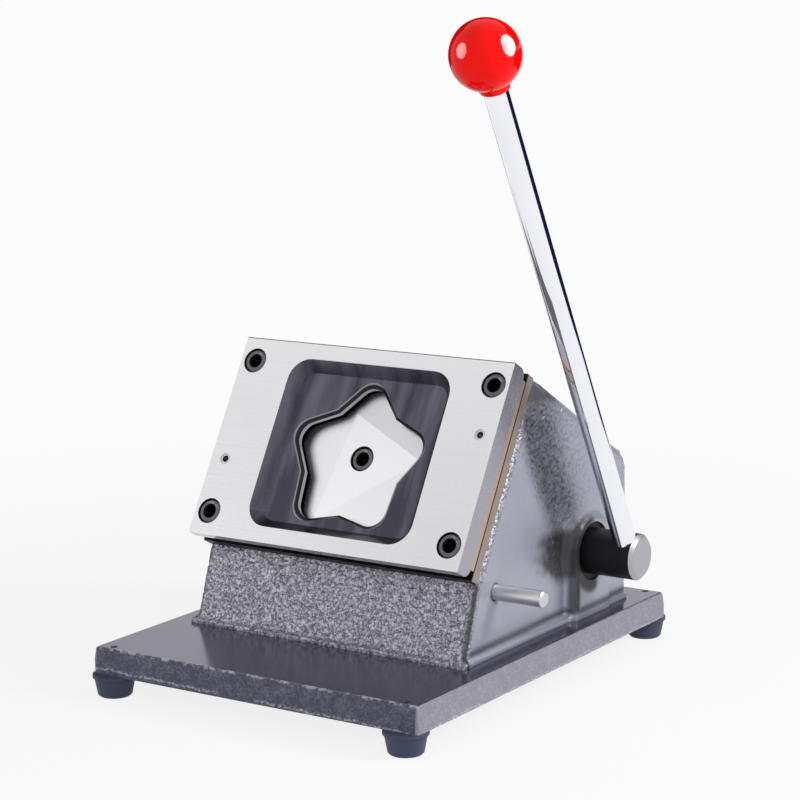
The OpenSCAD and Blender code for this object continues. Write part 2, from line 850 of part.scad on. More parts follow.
// the knob's ball ends in a flat, and its neck goes on below that
knob_flat_in = sqrt(knob_d * knob_d - knob_flat * knob_flat) / 2;

module lever_frame() {
    translate([rod_x, shaft_y, shaft_z]) rotate([lever_lean, 0, 0]) children();
}

module lever_rod() {
    from = shaft_d / 2 - rod_depth;
    color("#e4e4e8") lever_frame() translate([0, 0, from])
        cylinder(d = rod_d, h = knob_reach - knob_flat_in + knob_depth - from);
}

module ball_knob() {
    color("red") lever_frame() translate([0, 0, knob_reach]) difference() {
        union() {
            difference() {
                sphere(d = knob_d);
                translate([0, 0, -knob_flat_in - knob_d]) cylinder(d = 2 * knob_d, h = knob_d);
            }
            translate([0, 0, -knob_flat_in - knob_neck]) cylinder(d = knob_flat, h = knob_neck + lap);
        }
        translate([0, 0, -knob_d]) cylinder(d = rod_d + 2 * seat_gap, h = knob_d - knob_flat_in + knob_depth);
    }
}

// ram and punch

module ram() {
    color("#7d7e85") plate_frame() difference() {
        union() {
            bar_in(0, 0, punch_back, ram_back, ram_d);
            bar_in(0, 0, ram_back - lap, tail_end, tail_d);
        }
        bar_in(0, 0, punch_back - past, punch_hold, m8_d + 2 * seat_gap);
        for (sx = [-1, 1]) bar_in(sx * punch_pin_x, -star_drop, punch_back - past,
            punch_back + punch_pin_len / 2, punch_pin_d + 2 * seat_gap);
        for (a = spring_angles) translate([spring_out * cos(a), spring_out * sin(a) - star_drop, 0])
            bar_in(0, 0, punch_back - past, punch_back + spring_pocket, spring_d + 2 * spring_room);
        bar_in(0, 0, tail_end - wear_pin_len, tail_end + past, wear_pin_d + 2 * seat_gap);
    }
}

module wear_pad() {
    color("#a5a6ac") plate_frame() {
        bar_in(0, 0, tail_end, pad_plane, wear_d);
        bar_in(0, 0, tail_end - wear_pin_len, tail_end + lap, wear_pin_d);
    }
}

module punch() {
    // each ground plane's turn and its edge's distance from the middle
    shear_planes = [[65, 17.3], [-55, 18.7], [172, 14]];
    block = 120;
    color("#e2e2e2") plate_frame() difference() {
        translate([0, -star_drop, -punch_back]) linear_extrude(punch_t) star(-punch_gap);
        for (p = shear_planes) rotate([0, 0, p[0]]) translate([p[1], 0, -punch_rest])
            rotate([0, shear_slope, 0]) translate([0, -block / 2, 0]) cube([block, block, punch_t]);
        bar_in(0, 0, punch_rest - past, punch_rest + punch_head_in + m8_head_h, m8_bore);
        bar_in(0, 0, punch_rest - past, punch_back + past, m8_clear);
        for (sx = [-1, 1]) bar_in(sx * punch_pin_x, -star_drop, punch_back - punch_pin_len / 2,
            punch_back + past, punch_pin_d + 2 * seat_gap);
    }
}

module punch_screw() {
    color("#77777c") plate_frame() translate([0, 0, -punch_rest - punch_head_in])
        socket_screw(punch_screw_len);
}

module punch_dowels() {
    color("silver") plate_frame() for (sx = [-1, 1])
        bar_in(sx * punch_pin_x, -star_drop, punch_back - punch_pin_len / 2,
            punch_back + punch_pin_len / 2, punch_pin_d);
}

// return springs: one closed tube per spring, wound around the ram's direction
spring_r = (spring_d - spring_wire) / 2;
spring_rise = (spring_free - spring_wire) / spring_turns;
curl_rings = 8;
curl_sides = 6;
spring_rings = spring_turns * curl_rings;

// middle of the wire at a ring, and a point of the wire's surface around it
function curl_middle(i) = let (turn = 360 * i / curl_rings) [
    spring_r * cos(turn),
    spring_r * sin(turn),
    spring_wire / 2 + spring_rise * i / curl_rings
];
function curl_point(i, j) = let (
    turn = 360 * i / curl_rings,
    side = 360 * j / curl_sides
) curl_middle(i) + spring_wire / 2 * [cos(side) * cos(turn), cos(side) * sin(turn), sin(side)];

// least gap of the wire to itself, measured between rings at least half a turn apart
spring_self_gap = min([for (i = [0:spring_rings - curl_rings], k = [i + curl_rings / 2:spring_rings])
    norm(curl_middle(i) - curl_middle(k))]) - spring_wire;
echo(spring_self_gap = spring_self_gap);

module coil() {
    points = [for (i = [0:spring_rings], j = [0:curl_sides - 1]) curl_point(i, j)];
    last = spring_rings * curl_sides;
    walls = [for (i = [0:spring_rings - 1], j = [0:curl_sides - 1], half = [0, 1])
        let (
            a = i * curl_sides + j,
            b = i * curl_sides + (j + 1) % curl_sides,
            c = b + curl_sides,
            d = a + curl_sides
        ) half == 0 ? [a, c, b] : [a, d, c]];
    start_cap = [for (j = [1:curl_sides - 2]) [0, j, j + 1]];
    end_cap = [for (j = [1:curl_sides - 2]) [last, last + j + 1, last + j]];
    polyhedron(points, concat(walls, start_cap, end_cap));
}

module return_springs() {
    color("#b9bac0") plate_frame() for (a = spring_angles)
        translate([spring_out * cos(a), spring_out * sin(a) - star_drop, -punch_back - spring_pocket]) coil();
}
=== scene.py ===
# %% [markdown]
# # A lever die cutter
# The machine is a sloped casting on a base plate. A lever on its right turns a shaft, and a cam on
# the shaft pushes a star shaped punch through a card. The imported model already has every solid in
# its place, so this lesson dresses it: it gives each surface its finish, and it remakes the few
# pieces whose real surface is softer or rougher than a plain solid.

import json
import math

import bmesh
import bpy
from mathutils import Matrix, Vector, noise


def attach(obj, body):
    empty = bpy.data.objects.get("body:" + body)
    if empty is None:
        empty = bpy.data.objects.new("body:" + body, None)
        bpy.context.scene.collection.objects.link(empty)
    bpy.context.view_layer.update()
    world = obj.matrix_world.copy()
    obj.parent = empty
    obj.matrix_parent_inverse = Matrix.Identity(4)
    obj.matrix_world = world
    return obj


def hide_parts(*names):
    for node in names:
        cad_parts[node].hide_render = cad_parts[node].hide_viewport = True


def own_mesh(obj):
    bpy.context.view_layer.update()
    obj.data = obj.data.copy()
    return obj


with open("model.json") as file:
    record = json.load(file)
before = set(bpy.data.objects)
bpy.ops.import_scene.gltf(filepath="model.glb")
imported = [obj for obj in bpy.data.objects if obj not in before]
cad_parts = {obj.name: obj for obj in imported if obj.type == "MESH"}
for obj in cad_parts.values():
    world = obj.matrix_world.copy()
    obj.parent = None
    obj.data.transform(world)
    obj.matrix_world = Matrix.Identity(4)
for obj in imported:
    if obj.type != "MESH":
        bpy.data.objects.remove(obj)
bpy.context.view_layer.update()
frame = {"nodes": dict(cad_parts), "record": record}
MM = 0.001

# %% [markdown]
# The photograph fixes the camera. Its place and its turn were fitted to the corners of the base
# plate and the die plate, so the camera is set from those numbers and not aimed by eye. A camera
# looks along its own -Z axis, so its three axes are worked out and written into its matrix.

# %% Camera at the photograph's place
CAMERA_PLACE = Vector((0.7130, -1.0693, 0.3766))
CAMERA_AZIMUTH = math.radians(33.41)
CAMERA_ELEVATION = math.radians(10.24)
CAMERA_ROLL = math.radians(-0.45)
CAMERA_LENS = 111.14

back = Vector((
    math.sin(CAMERA_AZIMUTH) * math.cos(CAMERA_ELEVATION),
    -math.cos(CAMERA_AZIMUTH) * math.cos(CAMERA_ELEVATION),
    math.sin(CAMERA_ELEVATION),
))
right = Vector((math.cos(CAMERA_AZIMUTH), math.sin(CAMERA_AZIMUTH), 0))
up = back.cross(right)
turned_axes = Matrix((right, up, back)).transposed().to_4x4()
camera_data = bpy.data.cameras.new("photo_camera")
camera_data.lens = CAMERA_LENS
camera_data.sensor_width = 36
camera = bpy.data.objects.new("photo_camera", camera_data)
camera.matrix_world = Matrix.Translation(CAMERA_PLACE) @ turned_axes @ Matrix.Rotation(CAMERA_ROLL, 4, "Z")
bpy.context.scene.collection.objects.link(camera)
bpy.context.scene.camera = camera
bpy.context.scene.view_settings.view_transform = "Standard"
print("camera looks along", [round(-v, 3) for v in back])

# %% [markdown]
# Colours are written as they look on a screen, in sRGB hex. Shaders work in linear light, so one
# function turns them. Two small ones add a node and feed its inputs, which keeps each material below
# down to the few lines that say what the surface is.

# %% Helpers for colours and nodes


def linear(hex_colour):
    """A screen colour such as #8C8C91 as linear red, green, blue and alpha."""
    channels = [int(hex_colour[i:i + 2], 16) / 255 for i in (1, 3, 5)]
    light = [c / 12.92 if c <= 0.04045 else ((c + 0.055) / 1.055) ** 2.4 for c in channels]
    return [*light, 1.0]


def feed(node, values):
    """Sets inputs. A value is a constant, a socket, or a node that gives its first live output."""
    for name, value in values.items():
        if isinstance(value, bpy.types.Node):
            value = next(socket for socket in value.outputs if socket.enabled)
        if isinstance(value, bpy.types.NodeSocket):
            node.id_data.links.new(value, node.inputs[name])
        else:
            node.inputs[name].default_value = value


def add(tree, kind, values=None, **settings):
    """Adds a node with its settings and the values of its inputs."""
    made = tree.nodes.new(kind)
    for name, value in settings.items():
        setattr(made, name, value)
    feed(made, values or {})
    return made


def new_material(name, constants):
    """A material with its shader's constant sockets set, its tree and its shader."""
    material = bpy.data.materials.new(name)
    material.use_nodes = True
    shader = material.node_tree.nodes["Principled BSDF"]
    feed(shader, constants)
    return material, material.node_tree, shader


# A Mix node has a socket of each name for every kind of data, so colours go in by their numbers.
MIX_A = 6
MIX_B = 7
print("red turns to", [round(v, 3) for v in linear("#F00A05")])

# %% [markdown]
# The photograph was taken in a white studio, with a large soft light on the right and a weaker one
# on the left. Their two reflections on the red ball say where they stood. A third, wide light fills the
# front and shows in no reflection. The world is white to the camera and in reflections, and dimmer as
# a light, so that painted faces keep their own colour. Cards and dark flags stand around the machine,
# as they would in a studio. They show in reflections alone: the chrome gets its dark line from them, and
# the glossy enamel its darker parts.

# %% Studio: world, floor and lights
AIM = Vector((0, 0, 0.11))
AMBIENT = 0.45
WHITE = linear("#FCFCFD")
FLOOR_HALF = 6.0
FLOOR_GLOW = 0.86
SHADOW_REACH = (0.3, 0.75)
FROM_RIGHT = (0.794, 0.30, 0.46)
FROM_LEFT = (-0.667, -0.677, 0.31)
FROM_FRONT = (0.46, -0.69, 0.57)
CARD_OUT = 0.85
CARD_STEPS = 8


def seen_share(tree):
    """1 for rays from the camera, off a mirror or through glass, and 0 for rays that carry light."""
    rays = add(tree, "ShaderNodeLightPath")
    seen = add(tree, "ShaderNodeMath", {
        0: rays.outputs["Is Camera Ray"], 1: rays.outputs["Is Glossy Ray"]}, operation="MAXIMUM")
    return add(tree, "ShaderNodeMath", {
        0: seen, 1: rays.outputs["Is Transmission Ray"]}, operation="MAXIMUM")


world = bpy.data.worlds.new("white_studio")
bpy.context.scene.world = world
world.use_nodes = True
sky = world.node_tree
sky.nodes.clear()
as_light = add(sky, "ShaderNodeBackground", {"Color": linear("#F4F5F8"), "Strength": AMBIENT})
as_backdrop = add(sky, "ShaderNodeBackground", {"Color": WHITE, "Strength": 1.0})
both = add(sky, "ShaderNodeMixShader", {0: seen_share(sky), 1: as_light, 2: as_backdrop})
add(sky, "ShaderNodeOutputWorld", {"Surface": both})

floor_mesh = bmesh.new()
bmesh.ops.create_grid(floor_mesh, x_segments=1, y_segments=1, size=FLOOR_HALF)
floor_data = bpy.data.meshes.new("pale_floor")
floor_mesh.to_mesh(floor_data)
floor_mesh.free()
floor = bpy.data.objects.new("pale_floor", floor_data)
bpy.context.scene.collection.objects.link(floor)

# near the machine the floor takes a soft shadow, and further out it is as white as the backdrop
pale, tree, shader = new_material("pale_floor_paint", {"Base Color": linear("#F2F2F3"), "Roughness": 0.9})
place = add(tree, "ShaderNodeTexCoord").outputs["Object"]
out = add(tree, "ShaderNodeVectorMath", {0: place}, operation="LENGTH")
far = add(tree, "ShaderNodeMapRange", {
    "Value": out, "From Min": SHADOW_REACH[0], "From Max": SHADOW_REACH[1],
    "To Min": FLOOR_GLOW, "To Max": 1.0})
share = add(tree, "ShaderNodeMath", {0: seen_share(tree), 1: far}, operation="MULTIPLY")
glow = add(tree, "ShaderNodeEmission", {"Color": WHITE, "Strength": 1.0})
mixed = add(tree, "ShaderNodeMixShader", {0: share, 1: shader, 2: glow})
feed(tree.nodes["Material Output"], {"Surface": mixed})
floor_data.materials.append(pale)


def soft_light(name, direction, distance, size, watts):
    """A round area light that faces the machine from a direction."""
    data = bpy.data.lights.new(name, "AREA")
    data.shape = "DISK"
    data.size = size
    data.energy = watts
    lamp = bpy.data.objects.new(name, data)
    lamp.location = AIM + Vector(direction).normalized() * distance
    lamp.rotation_euler = (AIM - lamp.location).to_track_quat("-Z", "Y").to_euler()
    bpy.context.scene.collection.objects.link(lamp)
    return lamp


soft_light("soft_light_right", FROM_RIGHT, distance=1.5, size=0.5, watts=15)
soft_light("soft_light_left", FROM_LEFT, distance=1.6, size=0.36, watts=1.6)
fill = soft_light("soft_light_front", FROM_FRONT, distance=1.7, size=0.9, watts=7)
fill.visible_glossy = False


def card(name, turn_from, turn_to, low, high, tone):
    """A curved card around the machine that shows in reflections and nowhere else."""
    shape = bmesh.new()
    step = (turn_to - turn_from) / CARD_STEPS
    turns = [math.radians(turn_from + step * i) for i in range(CARD_STEPS + 1)]
    foot = [shape.verts.new((CARD_OUT * math.cos(t), CARD_OUT * math.sin(t), low)) for t in turns]
    edges = [shape.edges.new(pair) for pair in zip(foot, foot[1:])]
    drawn = bmesh.ops.extrude_edge_only(shape, edges=edges)["geom"]
    top = [g for g in drawn if isinstance(g, bmesh.types.BMVert)]
    bmesh.ops.translate(shape, verts=top, vec=(0, 0, high - low))
    mesh = bpy.data.meshes.new(name)
    shape.to_mesh(mesh)
    shape.free()
    paint = new_material(name, {
        "Base Color": linear("#000000"), "Specular IOR Level": 0.0,
        "Emission Color": linear(tone), "Emission Strength": 1.0})[0]
    mesh.materials.append(paint)
    board = bpy.data.objects.new(name, mesh)
    bpy.context.scene.collection.objects.link(board)
    board.visible_camera = False
    board.visible_diffuse = False
    board.visible_shadow = False


card("navy_card", 32, 84, low=0.02, high=0.42, tone="#141A40")
card("grey_card", 118, 152, low=0.0, high=0.11, tone="#8C8C96")
card("dark_flag_left", 142, 175, low=0.12, high=0.5, tone="#1A1A1E")
card("dark_flag_back", 50, 175, low=0.5, high=1.1, tone="#1A1A1E")

# %% [markdown]
# The sizes below repeat the part's own driving dimensions, in millimetres, because a pattern or a
# mask has to know where the plates and the shaft are. The sloped stack has its own frame: x runs
# to the right, u up the slope, and depth into the machine from the front of the die plate.

# %% Sizes that the finishes and the new pieces share
BASE_TOP = 25.5
SLOPE = math.radians(60)
PLATE_Y = -37.537
PLATE_Z = 124.44
STACK_T = 21.0
BODY_HALF = 84.0
BODY_FRONT = 60.8
BREAK_RISE = 40.2
BREAK_IN = 13.6
SHAFT_Y = 64.7
SHAFT_Z = 60.5
SHAFT_END = 118.0
PIN_FRONT = 27.7
PIN_Z = 57.5
LEVER_X = 110.5
LEVER_LEAN = math.radians(28.5)

plate_frame = Matrix.Translation(Vector((0, PLATE_Y, PLATE_Z)) * MM) @ Matrix.Rotation(SLOPE, 4, "X")
lever_frame = (Matrix.Translation(Vector((LEVER_X, SHAFT_Y, SHAFT_Z)) * MM)
               @ Matrix.Rotation(LEVER_LEAN, 4, "X"))
print("die plate centre:", [round(v, 4) for v in plate_frame.translation])

# %% [markdown]
# **Hammered enamel.** The casting is iron under a thick grey enamel with metal flake. It ran into
# pebbles on the lower front, wrinkled on the upper sides, and lies almost smooth on the lower sides.
# All of that is real relief in the mesh, made further down. The mesh also carries attributes that the
# finish reads: coarse says where the pebbles are, relief how high each one stands, and painted_shade
# where shade is painted in, darker and with less gloss.

# %% Hammered enamel for the casting
FLECK = 0.7 * MM
PEBBLE = 1.75 * MM
PEBBLE_BEND = 1.8 * PEBBLE
CLOUD = 28 * MM

hammered, tree, shader = new_material("hammered_grey_enamel", {
    "Metallic": 0.4, "IOR": 1.5, "Coat Roughness": 0.15})
place = add(tree, "ShaderNodeTexCoord").outputs["Object"]
coarse, relief, painted_shade = [
    add(tree, "ShaderNodeAttribute", attribute_name=name).outputs["Fac"]
    for name in ("coarse", "relief", "painted_shade")]
flecks = add(tree, "ShaderNodeTexNoise", {"Vector": place, "Scale": 1 / FLECK, "Detail": 2.0})
cloud = add(tree, "ShaderNodeTexNoise", {"Vector": place, "Scale": 1 / CLOUD})
# pebbles are cells, and a noise bends the place first, so that the joints between them wind
bend = add(tree, "ShaderNodeTexNoise", {"Vector": place, "Scale": 1 / PEBBLE})
bent = add(tree, "ShaderNodeVectorMath", {
    0: bend.outputs["Color"], 1: [PEBBLE_BEND] * 3, 2: place}, operation="MULTIPLY_ADD")
cells = add(tree, "ShaderNodeTexVoronoi", {"Vector": bent, "Scale": 1 / PEBBLE},
            feature="DISTANCE_TO_EDGE")
# a joint is wide in one place and closes in the next, which leaves short dark crescents of painted shade
# under the pebbles
come_and_go = add(tree, "ShaderNodeTexNoise", {"Vector": bent, "Scale": 0.9 / PEBBLE})
joint = add(tree, "ShaderNodeMapRange", {
    "Value": come_and_go, "From Min": 0.36, "From Max": 0.62, "To Min": 0.01, "To Max": 0.34})
stone = add(tree, "ShaderNodeMapRange", {"Value": cells, "From Min": 0.0, "From Max": joint})
# joints are dark, and the pebbles' tops are painted lighter the higher they stand: a painted highlight where
# the metal flake shows
lit = add(tree, "ShaderNodeMapRange", {"Value": relief, "To Min": 0.55, "To Max": 1.0})
top_share = add(tree, "ShaderNodeMath", {0: stone, 1: lit}, operation="MULTIPLY")
pebble_tone = add(tree, "ShaderNodeMix", {
    0: top_share, MIX_A: linear("#504F59"), MIX_B: linear("#BDBCC7")}, data_type="RGBA")
plain_tone = add(tree, "ShaderNodeMix", {
    0: cloud, MIX_A: linear("#9496A3"), MIX_B: linear("#A4A6B4")}, data_type="RGBA")
tone = add(tree, "ShaderNodeMix", {0: coarse, MIX_A: plain_tone, MIX_B: pebble_tone}, data_type="RGBA")
# painted shade in the valley and in front of the boss: darker there, with less of a mirror
painted_shade_tone = add(tree, "ShaderNodeMix", {
    0: painted_shade, MIX_A: tone, MIX_B: linear("#434347")}, data_type="RGBA")
mirror = add(tree, "ShaderNodeMapRange", {"Value": painted_shade, "To Min": 0.5, "To Max": 0.12})
coat_share = add(tree, "ShaderNodeMapRange", {"Value": painted_shade, "To Min": 0.2, "To Max": 0.03})
# the flake makes the gloss uneven, and together with the pebbles' edges it roughens the surface
gloss = add(tree, "ShaderNodeMapRange", {
    "Value": flecks, "From Min": 0.3, "From Max": 0.7, "To Min": 0.3, "To Max": 0.48})
stone_up = add(tree, "ShaderNodeMath", {0: stone, 1: coarse}, operation="MULTIPLY")
height = add(tree, "ShaderNodeMath", {0: stone_up, 1: 1.6, 2: flecks}, operation="MULTIPLY_ADD")
bump = add(tree, "ShaderNodeBump", {"Height": height, "Strength": 0.25, "Distance": 0.3 * MM})
feed(shader, {
    "Base Color": painted_shade_tone, "Specular IOR Level": mirror, "Coat Weight": coat_share,
    "Roughness": gloss, "Normal": bump})
print("made", hammered.name)

# %% [markdown]
# ** Base enamel.** The base plate has a darker coat that was ground flat on top before painting, so
# the top mirrors the white room softly. Its edges keep the grain of the casting under the paint and
# mirror less. Light and shade are painted into the coat: the ends lighter, where the right light falls,
# and the top darker. A broken pale line of painted highlight runs along the lower edge, and short
# lengths of painted highlight run along the upper edges of both ends.

# %% Smooth enamel for the base plate
GRAIN = 1.1 * MM
BASE_CLOUD = 40 * MM
SIDE_X = 98.4
END_Y = 124.6
EDGE_RUN = 14 * MM
EDGE_LINE = 13.2
EDGE_WANDER = 2.6
EDGE_TILT = -0.011
LINE_GAP_X = -8.0

base_enamel, tree, shader = new_material("dark_grey_enamel", {
    "Metallic": 0.15, "IOR": 1.9, "Specular Tint": linear("#ECEAFF"), "Coat Weight": 0.08,
    "Coat Roughness": 0.14})
place = add(tree, "ShaderNodeTexCoord").outputs["Object"]
along_x, along_y, along_z = add(tree, "ShaderNodeSeparateXYZ", {0: place}).outputs
top = add(tree, "ShaderNodeMapRange", {
    "Value": along_z, "From Min": (BASE_TOP - 0.5) * MM, "From Max": (BASE_TOP - 0.1) * MM})
across = add(tree, "ShaderNodeMath", {0: along_x}, operation="ABSOLUTE")
side = add(tree, "ShaderNodeMath", {0: across, 1: SIDE_X * MM}, operation="GREATER_THAN")
grain = add(tree, "ShaderNodeTexNoise", {
    "Vector": place, "Scale": 1 / GRAIN, "Detail": 3.0, "Roughness": 0.7})
blotch = add(tree, "ShaderNodeTexNoise", {
    "Vector": place, "Scale": 1 / (4 * GRAIN), "Detail": 4.0, "Roughness": 0.7})
both = add(tree, "ShaderNodeMath", {0: grain, 1: blotch}, operation="ADD")
speck = add(tree, "ShaderNodeMapRange", {"Value": both, "From Min": 0.92, "From Max": 1.4})
cloud = add(tree, "ShaderNodeTexNoise", {"Vector": place, "Scale": 1 / BASE_CLOUD})
# one grey enamel in painted copies: the ends painted lighter, where the right light falls, and the top
# painted darker, as painted light and shade
front_tone = add(tree, "ShaderNodeMix", {
    0: speck, MIX_A: linear("#363747"), MIX_B: linear("#6C6D7F")}, data_type="RGBA")
lit_side_tone = add(tree, "ShaderNodeMix", {
    0: speck, MIX_A: linear("#807E88"), MIX_B: linear("#9D9BA5")}, data_type="RGBA")
edge_tone = add(tree, "ShaderNodeMix", {0: side, MIX_A: front_tone, MIX_B: lit_side_tone}, data_type="RGBA")
shaded_top_tone = add(tree, "ShaderNodeMix", {
    0: cloud, MIX_A: linear("#2A2834"), MIX_B: linear("#34323E")}, data_type="RGBA")
tone = add(tree, "ShaderNodeMix", {0: top, MIX_A: edge_tone, MIX_B: shaded_top_tone}, data_type="RGBA")
# painted highlight along the lower edge: a pale line that wanders, breaks off and goes on
run = add(tree, "ShaderNodeTexNoise", {
    "Vector": place, "Scale": 1 / EDGE_RUN, "Detail": 5.0, "Roughness": 0.6})
wander = add(tree, "ShaderNodeMapRange", {
    "Value": run, "To Min": (EDGE_LINE - EDGE_WANDER) * MM, "To Max": (EDGE_LINE + EDGE_WANDER) * MM})
tilt = add(tree, "ShaderNodeMath", {0: along_x, 1: EDGE_TILT, 2: wander}, operation="MULTIPLY_ADD")
line_gap = add(tree, "ShaderNodeMath", {0: along_z, 1: tilt}, operation="SUBTRACT")
line_far = add(tree, "ShaderNodeMath", {0: line_gap}, operation="ABSOLUTE")
line_on = add(tree, "ShaderNodeMapRange", {
    "Value": line_far, "From Min": 0.2 * MM, "From Max": 0.9 * MM, "To Min": 1.0, "To Max": 0.0})
broken = add(tree, "ShaderNodeMapRange", {
    "Value": grain, "From Min": 0.42, "From Max": 0.6, "To Min": 0.0, "To Max": 0.8})
low_line = add(tree, "ShaderNodeMath", {0: line_on, 1: broken}, operation="MULTIPLY")
# near the middle of the front the line stops for a stretch
from_gap = add(tree, "ShaderNodeMath", {0: along_x, 1: LINE_GAP_X * MM}, operation="SUBTRACT")
gap_far = add(tree, "ShaderNodeMath", {0: from_gap}, operation="ABSOLUTE")
past_gap = add(tree, "ShaderNodeMapRange", {
    "Value": gap_far, "From Min": 10 * MM, "From Max": 17 * MM})
low_line = add(tree, "ShaderNodeMath", {0: low_line, 1: past_gap}, operation="MULTIPLY")
# painted highlight along the upper edges of the two ends, in short lengths
near_top = add(tree, "ShaderNodeMapRange", {
    "Value": along_z, "From Min": (BASE_TOP - 1.5) * MM, "From Max": (BASE_TOP - 0.7) * MM})
high_breaks = add(tree, "ShaderNodeMapRange", {
    "Value": blotch, "From Min": 0.48, "From Max": 0.6, "To Min": 0.0, "To Max": 0.7})
high_line = add(tree, "ShaderNodeMath", {0: near_top, 1: high_breaks}, operation="MULTIPLY")
lengthways = add(tree, "ShaderNodeMath", {0: along_y}, operation="ABSOLUTE")
at_end = add(tree, "ShaderNodeMath", {0: lengthways, 1: END_Y * MM}, operation="GREATER_THAN")
high_line = add(tree, "ShaderNodeMath", {0: high_line, 1: at_end}, operation="MULTIPLY")
# both pale lines are painted highlight
edge_highlight = add(tree, "ShaderNodeMath", {0: low_line, 1: high_line}, operation="MAXIMUM")
shown = add(tree, "ShaderNodeMix", {0: edge_highlight, MIX_A: tone, MIX_B: linear("#B6B5C0")}, data_type="RGBA")
# the top is smooth and mirrors more than the grained edges
gloss = add(tree, "ShaderNodeMapRange", {"Value": top, "To Min": 0.42, "To Max": 0.17})
mirror = add(tree, "ShaderNodeMapRange", {"Value": top, "To Min": 0.26, "To Max": 0.8})
rough_share = add(tree, "ShaderNodeMapRange", {"Value": top, "To Min": 1.0, "To Max": 0.015})
grain_height = add(tree, "ShaderNodeMath", {0: grain, 1: rough_share}, operation="MULTIPLY")
bump = add(tree, "ShaderNodeBump", {"Height": grain_height, "Strength": 0.5, "Distance": 0.5 * MM})
feed(shader, {"Base Color": shown, "Roughness": gloss, "Specular IOR Level": mirror, "Normal": bump})
print("made", base_enamel.name)

# %% [markdown]
# ** Ground steel.** The die plate is hardened steel, ground flat: pale, with hair fine lines along
# its length. Its pocket is painted near black, a painted reflection of a dark room in its bare steel.
# One node holds both, so the finish goes by depth below the front face: ground face, black pocket,
# the bevel around the star, the star's wall.

# %% Ground steel with a blackened pocket, for the die plate
POCKET_DEEP = 7.0
BEVEL_DEEP = 2.0
MILLED_X = 83.95
TOP_EDGE = 55.5
POCKET_HALF_W = 51.4
POCKET_HALF_H = 47.6
INTO_PLATE = (0, math.sin(SLOPE), -math.cos(SLOPE))
UP_PLATE = (0, math.cos(SLOPE), math.sin(SLOPE))
GRINDING_RUN = (60 * MM, 0.6 * MM, 0.6 * MM)
BAND_RUN = (9 * MM, 70 * MM, 70 * MM)


def along_plate(tree, place, way):
    """How far a place lies from the middle of the die plate's front, in a direction."""
    from_plate = add(tree, "ShaderNodeVectorMath", {
        0: place, 1: (0, PLATE_Y * MM, PLATE_Z * MM)}, operation="SUBTRACT")
    return add(tree, "ShaderNodeVectorMath", {0: from_plate, 1: way}, operation="DOT_PRODUCT")


ground, tree, shader = new_material("ground_hardened_steel", {"Metallic": 1.0})
place = add(tree, "ShaderNodeTexCoord").outputs["Object"]
depth = along_plate(tree, place, INTO_PLATE)
rise = along_plate(tree, place, UP_PLATE)
along_x = add(tree, "ShaderNodeSeparateXYZ", {0: place}).outputs["X"]
below = add(tree, "ShaderNodeMath", {0: depth, 1: 0.25 * MM}, operation="GREATER_THAN")
side = add(tree, "ShaderNodeMath", {0: along_x}, operation="ABSOLUTE")
in_width = add(tree, "ShaderNodeMath", {0: side, 1: POCKET_HALF_W * MM}, operation="LESS_THAN")
length = add(tree, "ShaderNodeMath", {0: rise}, operation="ABSOLUTE")
in_height = add(tree, "ShaderNodeMath", {0: length, 1: POCKET_HALF_H * MM}, operation="LESS_THAN")
pocket = add(tree, "ShaderNodeMath", {0: below, 1: in_width}, operation="MULTIPLY")
pocket = add(tree, "ShaderNodeMath", {0: pocket, 1: in_height}, operation="MULTIPLY")
# the wheel leaves fine lines along the plate, and soft lighter bands of painted reflection run up the
# pocket's floor
lines = add(tree, "ShaderNodeMapping", {"Vector": place, "Scale": [1 / run for run in GRINDING_RUN]})
grinding = add(tree, "ShaderNodeTexNoise", {"Vector": lines, "Scale": 1.0, "Detail": 2.0})
band_place = add(tree, "ShaderNodeMapping", {"Vector": place, "Scale": [1 / run for run in BAND_RUN]})
reflection_bands = add(tree, "ShaderNodeTexNoise", {"Vector": band_place, "Scale": 1.0, "Detail": 4.0})
# painted shade and light: the foot of the ground face is painted a little darker and its top paler
up_face = add(tree, "ShaderNodeMapRange", {
    "Value": rise, "From Min": -TOP_EDGE * MM, "From Max": TOP_EDGE * MM})
shaded_low_tone = add(tree, "ShaderNodeMix", {
    0: grinding, MIX_A: linear("#CECED0"), MIX_B: linear("#D5D5D6")}, data_type="RGBA")
lit_high_tone = add(tree, "ShaderNodeMix", {
    0: grinding, MIX_A: linear("#DCDCDE"), MIX_B: linear("#E3E3E4")}, data_type="RGBA")
steel_tone = add(tree, "ShaderNodeMix", {0: up_face, MIX_A: shaded_low_tone, MIX_B: lit_high_tone}, data_type="RGBA")
# the ends were milled and left as they were, so they are darker than the face, and the upper edge is painted
# dark, as painted shade where it rounds away from the light
milled = add(tree, "ShaderNodeMath", {0: side, 1: MILLED_X * MM}, operation="GREATER_THAN")
metal_tone = add(tree, "ShaderNodeMix", {
    0: milled, MIX_A: steel_tone, MIX_B: linear("#AEABB4")}, data_type="RGBA")
edge = add(tree, "ShaderNodeMath", {0: rise, 1: TOP_EDGE * MM}, operation="GREATER_THAN")
face_tone = add(tree, "ShaderNodeMix", {0: edge, MIX_A: metal_tone, MIX_B: linear("#6B696E")},
                data_type="RGBA")
# the pocket is painted near black with lighter bands, a painted reflection of a dark room
patches = add(tree, "ShaderNodeMapRange", {"Value": reflection_bands, "From Min": 0.4, "From Max": 0.68})
black_tone = add(tree, "ShaderNodeMix", {
    0: patches, MIX_A: linear("#42404A"), MIX_B: linear("#66646F")}, data_type="RGBA")
